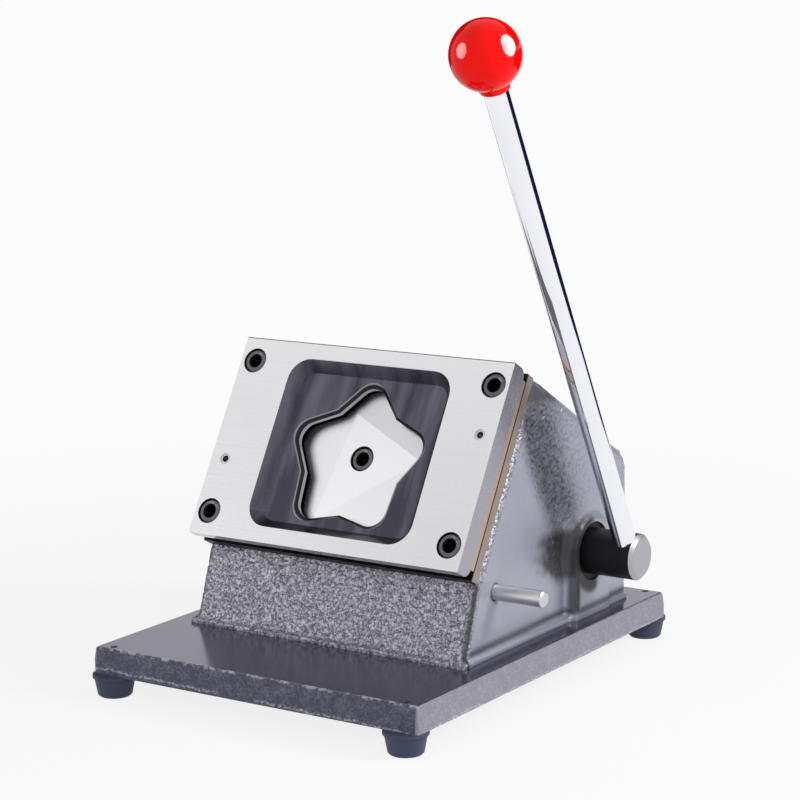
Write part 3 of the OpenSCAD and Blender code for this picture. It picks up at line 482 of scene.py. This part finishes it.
# the bevel is bright on its upper edge, dark below it, and the wall under it is bright again
bevel = add(tree, "ShaderNodeMapRange", {
    "Value": depth, "From Min": (POCKET_DEEP + 0.35) * MM, "From Max": (POCKET_DEEP + 0.75) * MM})
bevel_tone = add(tree, "ShaderNodeMix", {
    0: bevel, MIX_A: linear("#8E8C91"), MIX_B: linear("#2B2A2E")}, data_type="RGBA")
in_bevel = add(tree, "ShaderNodeMath", {0: depth, 1: (POCKET_DEEP + 0.03) * MM}, operation="GREATER_THAN")
in_wall = add(tree, "ShaderNodeMath", {0: depth, 1: (POCKET_DEEP + BEVEL_DEEP) * MM},
              operation="GREATER_THAN")
sunk_tone = add(tree, "ShaderNodeMix", {0: in_bevel, MIX_A: black_tone, MIX_B: bevel_tone}, data_type="RGBA")
star_tone = add(tree, "ShaderNodeMix", {
    0: in_wall, MIX_A: sunk_tone, MIX_B: linear("#B2B0B4")}, data_type="RGBA")
tone = add(tree, "ShaderNodeMix", {0: pocket, MIX_A: face_tone, MIX_B: star_tone}, data_type="RGBA")
gloss = add(tree, "ShaderNodeMapRange", {"Value": grinding, "To Min": 0.22, "To Max": 0.34})
bump = add(tree, "ShaderNodeBump", {"Height": grinding, "Strength": 0.05, "Distance": 0.2 * MM})
feed(shader, {"Base Color": tone, "Roughness": gloss, "Normal": bump})
print("made", ground.name)

# %% [markdown]
# ** Plain metals.** The punch, pins, screws, spacers and bushes are turned or milled metal. They differ
# in colour and gloss alone, so one recipe with a fine grain serves them all: the grain runs between two
# tones and between two roughnesses. The shaft is blackened apart from its faced end, the guide plate
# is dark with oil and painted shade, and the punch's three ground planes are painted lighter and darker
# by the way they face, so these three add a mask to the grain.

# %% Machined metals
MACHINING = 0.8 * MM
METAL = {"Metallic": 1.0}
TOOL_MARKS = (0.08, 0.1)
FACED_FROM = SHAFT_END - 1.9
GUIDE_FROM = 14.5
FACET_WAY = (0.4226, 0.4532, 0.7849)
FACET_TILT = 0.061


def add_grain(tree, shader, roughness, size=MACHINING, detail=3.0):
    """Gives a shader a grain between two roughnesses, and returns the grain and its place."""
    place = add(tree, "ShaderNodeTexCoord")
    grain = add(tree, "ShaderNodeTexNoise", {
        "Vector": place.outputs["Object"], "Scale": 1 / size, "Detail": detail})
    gloss = add(tree, "ShaderNodeMapRange", {
        "Value": grain, "To Min": roughness[0], "To Max": roughness[1]})
    feed(shader, {"Roughness": gloss})
    return grain, place


def grained(name, tones, roughness, constants, marks=None, **grain_settings):
    """A finish whose grain runs between two tones too. Marks are a bump's strength and its depth in mm."""
    material, tree, shader = new_material(name, constants)
    grain = add_grain(tree, shader, roughness, **grain_settings)[0]
    tone = add(tree, "ShaderNodeMix", {
        0: grain, MIX_A: linear(tones[0]), MIX_B: linear(tones[1])}, data_type="RGBA")
    feed(shader, {"Base Color": tone})
    if marks:
        bump = add(tree, "ShaderNodeBump", {
            "Height": grain, "Strength": marks[0], "Distance": marks[1] * MM})
        feed(shader, {"Normal": bump})
    return material


tool_steel = grained("satin_tool_steel", ("#86848A", "#98969C"), (0.35, 0.5), METAL, TOOL_MARKS)
plain_steel = grained("turned_steel", ("#B4B4B8", "#CACACE"), (0.14, 0.26), METAL, TOOL_MARKS)
screw_steel = grained("oiled_screw_steel", ("#4C4C50", "#727276"), (0.2, 0.32), METAL, TOOL_MARKS)
# painted shade: the socket is painted black, since the light hardly reaches into it
socket_painted_shade = grained("painted_shade_socket", ("#050506", "#0C0C0E"), (0.5, 0.7),
                       {"Metallic": 0.0, "Specular IOR Level": 0.05}, TOOL_MARKS)
pin_steel = grained("ground_pin_steel", ("#C6C6CA", "#DEDEE2"), (0.34, 0.44), METAL, TOOL_MARKS)
brass = grained("milled_brass", ("#B59680", "#E0C3A8"), (0.3, 0.45), METAL, TOOL_MARKS)
# painted shade: the bushes' bronze is painted near black, like the shade around the boss
bronze = grained("shaded_bearing_bronze", ("#1E1B17", "#2A251E"), (0.4, 0.55), METAL, TOOL_MARKS)

black_oxide, tree, shader = new_material("blackened_steel", {"Metallic": 0.7})
grain, place = add_grain(tree, shader, (0.3, 0.5))
axes = add(tree, "ShaderNodeSeparateXYZ", {0: place.outputs["Object"]})
faced = add(tree, "ShaderNodeMath", {0: axes.outputs["X"], 1: FACED_FROM * MM}, operation="GREATER_THAN")
black_tone = add(tree, "ShaderNodeMix", {
    0: grain, MIX_A: linear("#1B1A1F"), MIX_B: linear("#2A282E")}, data_type="RGBA")
tone = add(tree, "ShaderNodeMix", {0: faced, MIX_A: black_tone, MIX_B: linear("#ACAAB0")}, data_type="RGBA")
feed(shader, {"Base Color": tone})

# the guide plate is painted near black, for its oil and as painted shade, apart from its two bare ends, and
# a line of painted shade runs along the slot across the ends
guide_steel, tree, shader = new_material("oiled_and_shaded_guide_steel", {"Metallic": 0.8})
grain, place = add_grain(tree, shader, (0.35, 0.5))
axes = add(tree, "ShaderNodeSeparateXYZ", {0: place.outputs["Object"]})
across = add(tree, "ShaderNodeMath", {0: axes.outputs["X"]}, operation="ABSOLUTE")
end = add(tree, "ShaderNodeMath", {0: across, 1: MILLED_X * MM}, operation="GREATER_THAN")
bare_tone = add(tree, "ShaderNodeMix", {
    0: grain, MIX_A: linear("#968881"), MIX_B: linear("#AA9C95")}, data_type="RGBA")
depth = along_plate(tree, place.outputs["Object"], INTO_PLATE)
off_slot = add(tree, "ShaderNodeMapRange", {
    "Value": depth, "From Min": (GUIDE_FROM + 0.8) * MM, "From Max": (GUIDE_FROM + 1.3) * MM})
bare = add(tree, "ShaderNodeMath", {0: end, 1: off_slot}, operation="MULTIPLY")
tone = add(tree, "ShaderNodeMix", {0: bare, MIX_A: linear("#121113"), MIX_B: bare_tone}, data_type="RGBA")
feed(shader, {"Base Color": tone})

# painted light and shade: each plane of the punch gets a tone by the way it faces, lighter or darker
punch_steel, tree, shader = new_material("ground_punch_steel", METAL)
grain, place = add_grain(tree, shader, (0.25, 0.38))
lean = add(tree, "ShaderNodeVectorMath", {0: place.outputs["Normal"], 1: FACET_WAY}, operation="DOT_PRODUCT")
tilt = add(tree, "ShaderNodeMath", {0: lean}, operation="ABSOLUTE")
facet_shade = add(tree, "ShaderNodeMapRange", {"Value": tilt, "From Max": FACET_TILT})
tone = add(tree, "ShaderNodeMix", {
    0: facet_shade, MIX_A: linear("#E6E6E8"), MIX_B: linear("#D2D2D5")}, data_type="RGBA")
feed(shader, {"Base Color": tone})
print("made", len(bpy.data.materials), "materials so far")

# %% [markdown]
# **Chrome, plastic and rubber.** The rod is polished chrome, which shows the room and has almost no
# colour of its own, apart from a wide, faint haze. The ball is red moulded plastic with a wet gloss. The
# feet are black rubber with a fine dusty grain. The recipe of the metals serves these too.

# %% Chrome, red plastic and rubber
chrome = grained("polished_chrome", ("#EDEEF3", "#F7F7FA"), (0.03, 0.09), METAL, size=12 * MM)
red_plastic = grained("red_moulded_plastic", ("#F60200", "#FF0401"), (0.05, 0.1),
                      {"IOR": 1.5, "Specular IOR Level": 0.15}, size=9 * MM, detail=2.0)
rubber = grained("black_rubber", ("#2D3144", "#454A62"), (0.45, 0.65),
                 {"IOR": 1.5, "Specular IOR Level": 0.35}, marks=(0.15, 0.15), size=0.9 * MM)
print("made", chrome.name, red_plastic.name, rubber.name)

# %% [markdown]
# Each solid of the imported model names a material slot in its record. One table goes from slot to
# finish, and a few solids whose look differs from the rest of their slot are named after it.

# %% Finishes for the solids
FINISH_OF_SLOT = {
    "hammered_paint": hammered,
    "base_paint": base_enamel,
    "ground_steel": ground,
    "tool_steel": tool_steel,
    "plain_steel": plain_steel,
    "dark_steel": black_oxide,
    "spacer_brass": brass,
    "bush_bronze": bronze,
    "lever_chrome": chrome,
    "knob_plastic": red_plastic,
    "foot_rubber": rubber,
}
FINISH_OF_NODE = {
    "punch": punch_steel,
    "guide_plate": guide_steel,
    "stop_pin": pin_steel,
    "die_screws": screw_steel,
    "punch_screw": screw_steel,
}

for part in frame["record"]["subparts"]:
    solid = frame["nodes"][part["node"]]
    finish = FINISH_OF_NODE.get(part["node"], FINISH_OF_SLOT[part["material_slot"]])
    solid.data.materials.clear()
    solid.data.materials.append(finish)

# %% [markdown]
# New pieces are built in a bmesh, in metres, and written to an object that sits at the origin. This
# function does the last steps for all of them: it links the object, lets it ride on its body, and
# hides the solid that it stands for. Edges sharper than an angle stay sharp, and the rest shade smooth.

# %% Finishing a new piece
SHARP = math.radians(38)


def new_piece(name, mesh_maker, material, body, slot, *stands_for):
    """Writes a bmesh to a piece that rides on a body and stands for some solids."""
    mesh = bpy.data.meshes.new(name)
    mesh_maker.to_mesh(mesh)
    mesh_maker.free()
    mesh.shade_smooth()
    mesh.set_sharp_from_angle(angle=SHARP)
    mesh.materials.append(material)
    piece = bpy.data.objects.new(name, mesh)
    bpy.context.scene.collection.objects.link(piece)
    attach(piece, body)
    if stands_for:
        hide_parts(*stands_for)
    mesh.calc_loop_triangles()
    print(name, "has", len(mesh.loop_triangles), "triangles")
    return piece


def turn(outline, place, segments):
    """Turns an outline of (radius, height) pairs in mm around the z axis of a place."""
    shape = bmesh.new()
    corners = [shape.verts.new((r * MM, 0, z * MM)) for r, z in outline]
    edges = [shape.edges.new(pair) for pair in zip(corners, corners[1:])]
    bmesh.ops.spin(shape, geom=corners + edges, cent=(0, 0, 0), axis=(0, 0, 1), angle=2 * math.pi,
                   steps=segments, use_merge=True)
    bmesh.ops.remove_doubles(shape, verts=shape.verts, dist=0.001 * MM)
    bmesh.ops.recalc_face_normals(shape, faces=shape.faces)
    bmesh.ops.transform(shape, matrix=place, verts=shape.verts)
    return shape


def rounded(centre, radius, start, end, steps=6):
    """Points of (radius, height) along an arc, with its angles in degrees."""
    angles = [math.radians(start + (end - start) * i / steps) for i in range(steps + 1)]
    return [(centre[0] + radius * math.cos(a), centre[1] + radius * math.sin(a)) for a in angles]


print("a quarter round has", len(rounded((0, 0), 1, 0, 90)), "points")

# %% [markdown]
# **The casting.** A sand casting has no crisp corners, and its enamel rounds what is left of them. A
# copy of the solid is remeshed to even faces, which softens every corner at once. Faces inside, which
# nobody sees, are thinned out, and the lower front is divided finer for its pebbles. Then each vertex
# moves along its normal: by pebbles on the front and beside the plates, by folds on the upper sides.

# %% Remesh a copy of the casting
VOXEL = 1.45 * MM
MERGE = 0.005 * MM
INSIDE = 5.0
UNDERSIDE = 3.0
FOOT_SKIN = 0.4
INSIDE_KEEP = 0.42
FACE_HALF = 55.7
BODY_REAR = 106.5
RIM_X = 9.0
RIM_U = 8.0
FRONT_RUN = math.hypot(BREAK_IN, BREAK_RISE)


def settle(obj):
    """Gives an object the mesh that its modifiers make, and takes the modifiers off."""
    made = bpy.data.meshes.new_from_object(obj.evaluated_get(bpy.context.evaluated_depsgraph_get()))
    obj.modifiers.clear()
    obj.data = made


def slope_place(point):
    """A point's x, its rise up the slope and its depth below the die plate's front, in mm."""
    y = point.y / MM - PLATE_Y
    z = point.z / MM - PLATE_Z
    rise = y * math.cos(SLOPE) + z * math.sin(SLOPE)
    depth = y * math.sin(SLOPE) - z * math.cos(SLOPE)
    return point.x / MM, rise, depth


def front_gap(point):
    """How far a point lies behind the plane of the lower front face, in mm."""
    y = point.y / MM + BODY_FRONT
    z = point.z / MM - BASE_TOP
    return (y * BREAK_RISE - z * BREAK_IN) / FRONT_RUN


def buried(point):
    """How far a point lies inside the casting's outer faces, in mm."""
    x, rise, depth = slope_place(point)
    return min(BODY_HALF - 2 - abs(x), FACE_HALF - rise, depth - STACK_T, BODY_REAR - point.y / MM,
               front_gap(point))


def covered(point):
    """Whether a point lies on the mounting face, behind the guide plate."""
    x, rise, depth = slope_place(point)
    return depth < STACK_T + 2 and abs(x) < BODY_HALF - RIM_X and abs(rise) < FACE_HALF - RIM_U


def hidden(point):
    """Whether a point lies deep inside, behind the guide plate or under the foot."""
    under_foot = point.z < (BASE_TOP + FOOT_SKIN) * MM and buried(point) > UNDERSIDE
    return buried(point) > INSIDE or covered(point) or under_foot


shape = bmesh.new()
shape.from_mesh(frame["nodes"]["body_casting"].data)
bmesh.ops.remove_doubles(shape, verts=shape.verts, dist=MERGE)
raw = bpy.data.meshes.new("casting_copy")
shape.to_mesh(raw)
shape.free()
worker = bpy.data.objects.new("casting_copy", raw)
bpy.context.scene.collection.objects.link(worker)
remesh = worker.modifiers.new("even_faces", "REMESH")
remesh.mode = "VOXEL"
remesh.voxel_size = VOXEL
settle(worker)
print("remeshed casting:", len(worker.data.polygons), "faces")

inner = worker.vertex_groups.new(name="inside")
inner.add([v.index for v in worker.data.vertices if hidden(v.co)], 1.0, "REPLACE")
thin = worker.modifiers.new("thin_inside", "DECIMATE")
thin.ratio = INSIDE_KEEP
thin.vertex_group = "inside"
settle(worker)
print("thinned inside:", len(worker.data.polygons), "faces")

# %% [markdown]
# The relief follows the photograph. The lower front is all pebbles, and so is the narrow strip of
# casting beside the plates. On the sides, folds start behind the shallow valley and fade towards the
# foot. Where a bent noise crosses zero it draws winding joints, and the ground between them makes the
# pebbles. A second noise, bent more, gives the folds. Each share below says how far a point belongs to
# an area, and its bands are the distances in millimetres over which that area comes in or fades out.

# %% Relief of the enamel
PEBBLE_MM = 2.0
FOLD_MM = 1.55
FRONT_RELIEF = 0.5
STRIP_RELIEF = 0.45
FOLD_RELIEF = 0.6
ELSEWHERE_RELIEF = 0.04
VALLEY_FOOT = 55.0
VALLEY_SWEEP = 42.0
VALLEY_LOW = 18.0
VALLEY_RISE = 110.0
FRONT_CUTS = 1
FRONT_FROM = 0.15
FOLD_CUTS = 1
FOLD_FROM = 0.2
BOSS_R = 19.0
BEAD_TOP = 3.2
CROWN = 118.0
FOOT_SNAP = 0.9
JOINT_WIDE = 0.22
JOINT_SWAY = 0.45
SWAY_RATE = 1.7
FOLD_RATE = 0.6
PEBBLE_MEAN = 0.6
SMOOTHING = 0.4
RAGGED = 7.0
RAGGED_GRAIN = 0.6 * RAGGED * MM
PATCH_LEAN = 1.3
VALLEY_DARK = 0.72
PATCH_DARK = 0.96
RING_DARK = 0.95
EDGE_DARK = 0.85
NOISE_SEED = 11

# the noise takes its offsets from a seed, so a fixed one gives the same relief at each run
noise.seed_set(NOISE_SEED)


def ease(share):
    """A share from 0 to 1, held to that range and eased at both ends."""
    held = min(1.0, max(0.0, share))
    return held * held * (3 - 2 * held)


def band(value, start, end):
    """A share that eases from 0 where a value is at the start to 1 where it is at the end."""
    return ease((value - start) / (end - start))


def side_share(point):
    """How far a point belongs to the two sides."""
    return band(abs(point.x) / MM - BODY_HALF, -6, -3)


def behind_valley(point):
    """How far a point lies behind the line of the shallow valley, and its rise, in mm."""
    rise = point.z / MM - BASE_TOP
    valley = VALLEY_FOOT - VALLEY_SWEEP * band(rise, VALLEY_LOW, VALLEY_LOW + VALLEY_RISE)
    return point.y / MM - valley, rise


def crown_share(point):
    """How far a point belongs to the smooth dark top of the casting."""
    return band(point.z / MM - BASE_TOP, CROWN, CROWN + 8)


def pebble_share(point):
    """How far a point belongs to the pebbled faces."""
    x, rise, depth = slope_place(point)
    edge = band(abs(x) - BODY_HALF, -7, -4) * STRIP_RELIEF / FRONT_RELIEF
    front = band(front_gap(point), 2.2, 0.8)
    beside = band(front_gap(point), 6, 3) * edge
    strip = band(depth - STACK_T, 6.5, 4) * edge
    return max(front, beside, strip * (1 - crown_share(point)))


def fold_share(point):
    """How far a point belongs to the wrinkled faces, which are the upper sides most of all."""
    behind, rise = behind_valley(point)
    off_boss = math.hypot(point.y / MM - SHAFT_Y, point.z / MM - SHAFT_Z) - BOSS_R
    side = 0.35 + 0.65 * side_share(point)
    fade = 1 - 0.6 * band(behind, 14, 40)
    area = band(behind, -30, -10) * band(rise, 14, 44) * band(off_boss, 3, 13) * fade
    return area * side * (1 - 0.85 * crown_share(point))


def painted_shade_share(point):
    """How far shade is painted onto a point: in the valley, around the boss and above the bead, and how dark
    the crown is painted.
    """
    behind, rise = behind_valley(point)
    outer = side_share(point)
    reach = 19 if behind < -3 else 26
    valley = band(abs(behind + 3), 1.1 * reach, 0.1 * reach) * band(rise, 40, 70)
    # before the boss lies a patch of painted shade and painted reflection of the dark hub, with a ragged
    # edge that draws in towards the foot
    back = point.y / MM - SHAFT_Y
    up = point.z / MM - SHAFT_Z
    ragged = back + RAGGED * noise.noise(point / RAGGED_GRAIN) + PATCH_LEAN * min(up, 0)
    patch = band(ragged, -57, -35) * band(back, -5, -11) * band(up, -18, -8) * band(up, 20, 11) * outer
    # painted shade on the boss's lower half, in a ring around it and in a line down its front
    off_boss = math.hypot(back, up) - BOSS_R
    boss = band(off_boss, 4, 1) * band(up, 9, 4) * band(back, 6, 1)
    ring = band(off_boss, 5, 2) * band(up, 23, 17) * band(back, 4, -4)
    step_shade = band(abs(back + BOSS_R - 2), 3.3, 1.1) * band(up, 2, -6) * band(rise, 3, 6) * outer
    # a line of painted shade runs above the bead at the foot, and the crown is painted dark all over
    bead = band(abs(rise - BEAD_TOP - 2.2), 2.88, 0.48) * outer
    crown = crown_share(point) * outer
    return max(valley * VALLEY_DARK, patch * PATCH_DARK, boss, ring * RING_DARK, step_shade,
               bead * EDGE_DARK, crown * EDGE_DARK)


def corner_share(point):
    """How far a point lies in the line of painted shade along the corner between the front and a side."""
    outer = band(abs(point.x) / MM - BODY_HALF, -3, -1.5)
    return band(abs(front_gap(point) - 1.2), 1.92, 0.32) * outer


def pebble_height(point):
    """0 in the winding joints between pebbles and 1 on top of one."""
    spot = point / (PEBBLE_MM * MM)
    bent = spot + JOINT_SWAY * noise.noise_vector(spot * SWAY_RATE)
    return ease(abs(noise.noise(bent)) / JOINT_WIDE)


def fold_height(point):
    """Bent ridges between -1 and 1."""
    spot = point / (FOLD_MM * MM)
    return noise.noise(spot + noise.noise_vector(spot * FOLD_RATE))


shape = bmesh.new()
shape.from_mesh(worker.data)
front_faces = [f for f in shape.faces if pebble_share(f.calc_center_median()) > FRONT_FROM
               and f.calc_center_median().z > BASE_TOP * MM and not covered(f.calc_center_median())]
front_edges = {e for f in front_faces for e in f.edges}
bmesh.ops.subdivide_edges(shape, edges=list(front_edges), cuts=FRONT_CUTS, use_grid_fill=True)
fold_faces = [f for f in shape.faces if abs(f.calc_center_median().x) > (BODY_HALF - 2) * MM
              and fold_share(f.calc_center_median()) > FOLD_FROM]
fold_edges = {e for f in fold_faces for e in f.edges}
bmesh.ops.subdivide_edges(shape, edges=list(fold_edges), cuts=FOLD_CUTS, use_grid_fill=True)
bmesh.ops.smooth_vert(shape, verts=shape.verts, factor=SMOOTHING, use_axis_x=True, use_axis_y=True,
                      use_axis_z=True)
shape.normal_update()
layers = shape.verts.layers.float
coarse_layer, relief_layer, painted_shade_layer = [layers.new(name) for name in ("coarse", "relief", "painted_shade")]
moves = []
for vert in shape.verts:
    pebbled = pebble_share(vert.co)
    folded = fold_share(vert.co) * (1 - pebbled)
    bump_up = pebble_height(vert.co)
    fold_up = fold_height(vert.co)
    off_mean = bump_up - PEBBLE_MEAN
    lift = FRONT_RELIEF * pebbled * off_mean + FOLD_RELIEF * folded * fold_up
    vert[coarse_layer] = pebbled
    vert[relief_layer] = bump_up
    # painted shade gathers in the creases of the folds, and less of it lies on their ridges
    crease = max(0.0, -1.6 * fold_up - 0.1) * folded
    painted_shade_here = painted_shade_share(vert.co) * (1 - pebbled)
    painted_shade_total = painted_shade_here * (1 - 0.6 * fold_up * folded) + 0.4 * crease * (1 - painted_shade_here)
    vert[painted_shade_layer] = min(1.0, max(painted_shade_total, corner_share(vert.co)))
    moves.append(vert.normal * (lift + ELSEWHERE_RELIEF * off_mean) * MM)
for vert, move in zip(shape.verts, moves):
    vert.co += move
    if vert.co.z < (BASE_TOP + FOOT_SNAP) * MM:
        vert.co.z = BASE_TOP * MM
print("pebbled faces:", len(front_faces) * (FRONT_CUTS + 1) ** 2)

# %% [markdown]
# Remeshing also blurs the bores, and the ram and the shaft still have to run in them. So each vertex
# of a bore that came too far in is pushed back out, square to the bore's axis.

# %% Open the bores again
RAM_BORE = (43, 45.7)
RAM_RUN = (-2, 62)
BUSH_BORE = (11, 15.9)
BUSH_FROM = 55.0
PIN_BORE = (2.5, 4.5)
PIN_FROM = 40.0


def push_out(vert, centre, axis, from_radius, to_radius):
    """Moves a vertex that lies between two radii of an axis out to the larger one."""
    away = vert.co - centre
    away -= axis * away.dot(axis)
    if from_radius * MM < away.length < to_radius * MM:
        vert.co += away.normalized() * (to_radius * MM - away.length)


ram_axis = Vector((0, -math.sin(SLOPE), math.cos(SLOPE)))
across_axis = Vector((1, 0, 0))
shaft_centre = Vector((0, SHAFT_Y, SHAFT_Z)) * MM
pin_centre = Vector((0, -PIN_FRONT, PIN_Z)) * MM
for vert in shape.verts:
    past_face = slope_place(vert.co)[2] - STACK_T
    if RAM_RUN[0] < past_face < RAM_RUN[1]:
        push_out(vert, plate_frame.translation, ram_axis, *RAM_BORE)
    if abs(vert.co.x) > BUSH_FROM * MM:
        push_out(vert, shaft_centre, across_axis, *BUSH_BORE)
    if vert.co.x > PIN_FROM * MM:
        push_out(vert, pin_centre, across_axis, *PIN_BORE)
bpy.data.objects.remove(worker)
new_piece("painted_casting", shape, hammered, "frame", "hammered_paint", "body_casting")

# %% [markdown]
# ** Socket screws.** Each screw has a chamfered head with a conical mouth that leads into a hexagonal
# socket. The round part is one turned outline. Its open inner ring is spread to a hexagon, and the
# hexagon is extruded down to make the socket, which the light hardly reaches. Its faces are painted
# black, as painted shade.

# %% Screws of the die plate and the punch
HEAD_R = 6.5
HEAD_H = 8.0
SHANK_R = 4.0
HEAD_BREAK = 0.8
MOUTH_R = 4.0
MOUTH_DEEP = 0.7
KEY_HALF = 3.0
KEY_DEEP = 4.0
SIXTH = math.radians(60)


def socket_screw(place, length):
    """A socket head screw whose head's top lies on the place's xy plane."""
    outline = [(0, -HEAD_H - length), (SHANK_R, -HEAD_H - length), (SHANK_R, -HEAD_H), (HEAD_R, -HEAD_H),
               (HEAD_R, -HEAD_BREAK), (HEAD_R - HEAD_BREAK, 0), (MOUTH_R, 0), (KEY_HALF, -MOUTH_DEEP)]
    screw = turn(outline, Matrix(), segments=48)
    rim = [e for e in screw.edges if e.is_boundary]
    for vert in {v for e in rim for v in e.verts}:
        turned = math.atan2(vert.co.y, vert.co.x)
        off_middle = turned % SIXTH - SIXTH / 2
        grow = 1 / math.cos(off_middle)
        vert.co.x *= grow
        vert.co.y *= grow
    mouth = {f for e in rim for f in e.link_faces}
    old_faces = set(screw.faces) - mouth
    drawn = bmesh.ops.extrude_edge_only(screw, edges=rim)["geom"]
    low = [g for g in drawn if isinstance(g, bmesh.types.BMVert)]
    bmesh.ops.translate(screw, verts=low, vec=(0, 0, -KEY_DEEP * MM))
    low_edges = [g for g in drawn if isinstance(g, bmesh.types.BMEdge)]
    bmesh.ops.contextual_create(screw, geom=low_edges)
    # the socket's faces take the second finish, painted black as painted shade
    for face in set(screw.faces) - old_faces:
        face.material_index = 1
    bmesh.ops.recalc_face_normals(screw, faces=screw.faces)
    bmesh.ops.transform(screw, matrix=place, verts=screw.verts)
    return screw


def joined(shapes):
    """One bmesh that holds all the shapes of a list."""
    whole = bmesh.new()
    for part in shapes:
        step = bpy.data.meshes.new("step")
        part.to_mesh(step)
        part.free()
        whole.from_mesh(step)
        bpy.data.meshes.remove(step)
    return whole


SCREW_X = 75.0
SCREW_U = 43.0
SCREW_IN = 0.4
SCREW_LENGTH = 29.6
# each screw came to rest at a turn of its own, here in degrees
SCREW_TURNS = (8, 31, 52, 19)
corners = [(x, u) for x in (-SCREW_X, SCREW_X) for u in (-SCREW_U, SCREW_U)]
screws = []
for (x, u), degrees in zip(corners, SCREW_TURNS):
    seat = plate_frame @ Matrix.Translation(Vector((x, u, -SCREW_IN)) * MM)
    screws.append(socket_screw(seat @ Matrix.Rotation(math.radians(degrees), 4, "Z"), SCREW_LENGTH))
screw_piece = new_piece("socket_screws", joined(screws), screw_steel, "frame", "plain_steel", "die_screws")
screw_piece.data.materials.append(socket_painted_shade)

PUNCH_HEAD_IN = 15.2
PUNCH_SCREW_LENGTH = 31.5
middle = socket_screw(plate_frame @ Matrix.Translation((0, 0, -PUNCH_HEAD_IN * MM)), PUNCH_SCREW_LENGTH)
middle_piece = new_piece("punch_socket_screw", middle, screw_steel, "ram", "dark_steel", "punch_screw")
middle_piece.data.materials.append(socket_painted_shade)

# %% [markdown]
# **Ball knob.** The knob is one moulding: a ball with a short neck that tapers to the rod. The solid's
# ball has flat facets, which break up the sharp reflections of the lights. So the knob is turned again
# from an outline with fine arcs, and its bore goes as deep as the rod does. Two soft boxes that light
# nothing but the ball's gloss give it the two bright windows of the photograph.

# %% Turn the ball knob
KNOB_REACH = 306.8
BALL_R = 17.5
NECK_R = 7.6
NECK_LOW = -18.5
NECK_ROUND = 0.7
BALL_FROM = -61
BORE_R = 6.25
BORE_TOP = 5.05

outline = [(0, BORE_TOP), (BORE_R, BORE_TOP), (BORE_R, NECK_LOW)]
outline += rounded((NECK_R - NECK_ROUND, NECK_LOW + NECK_ROUND), NECK_ROUND, -90, 0)
outline += rounded((0, 0), BALL_R, BALL_FROM, 90, steps=40)
knob = turn(outline, lever_frame @ Matrix.Translation((0, 0, KNOB_REACH * MM)), segments=96)
ball = new_piece("turned_ball_knob", knob, red_plastic, "lever", "knob_plastic", "ball_knob")

glossy_ball = bpy.data.collections.new("glossy_ball")
glossy_ball.objects.link(ball)
for box in (soft_light("ball_box_right", FROM_RIGHT, distance=1.4, size=1.2, watts=190),
            soft_light("ball_box_left", FROM_LEFT, distance=1.5, size=1.0, watts=52)):
    box.visible_diffuse = False
    box.light_linking.receiver_collection = glossy_ball

# %% [markdown]
# ** Return springs.** Four springs push the ram back, and they shorten as it goes forward. Here a copy
# of the coils, with a mesh of its own, stands for them.

# %% A copy of the return springs
coils = bmesh.new()
coils.from_mesh(frame["nodes"]["return_springs"].data)
bmesh.ops.remove_doubles(coils, verts=coils.verts, dist=MERGE)
springs = new_piece("coil_springs", coils, plain_steel, "frame", "plain_steel", "return_springs")
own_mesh(springs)
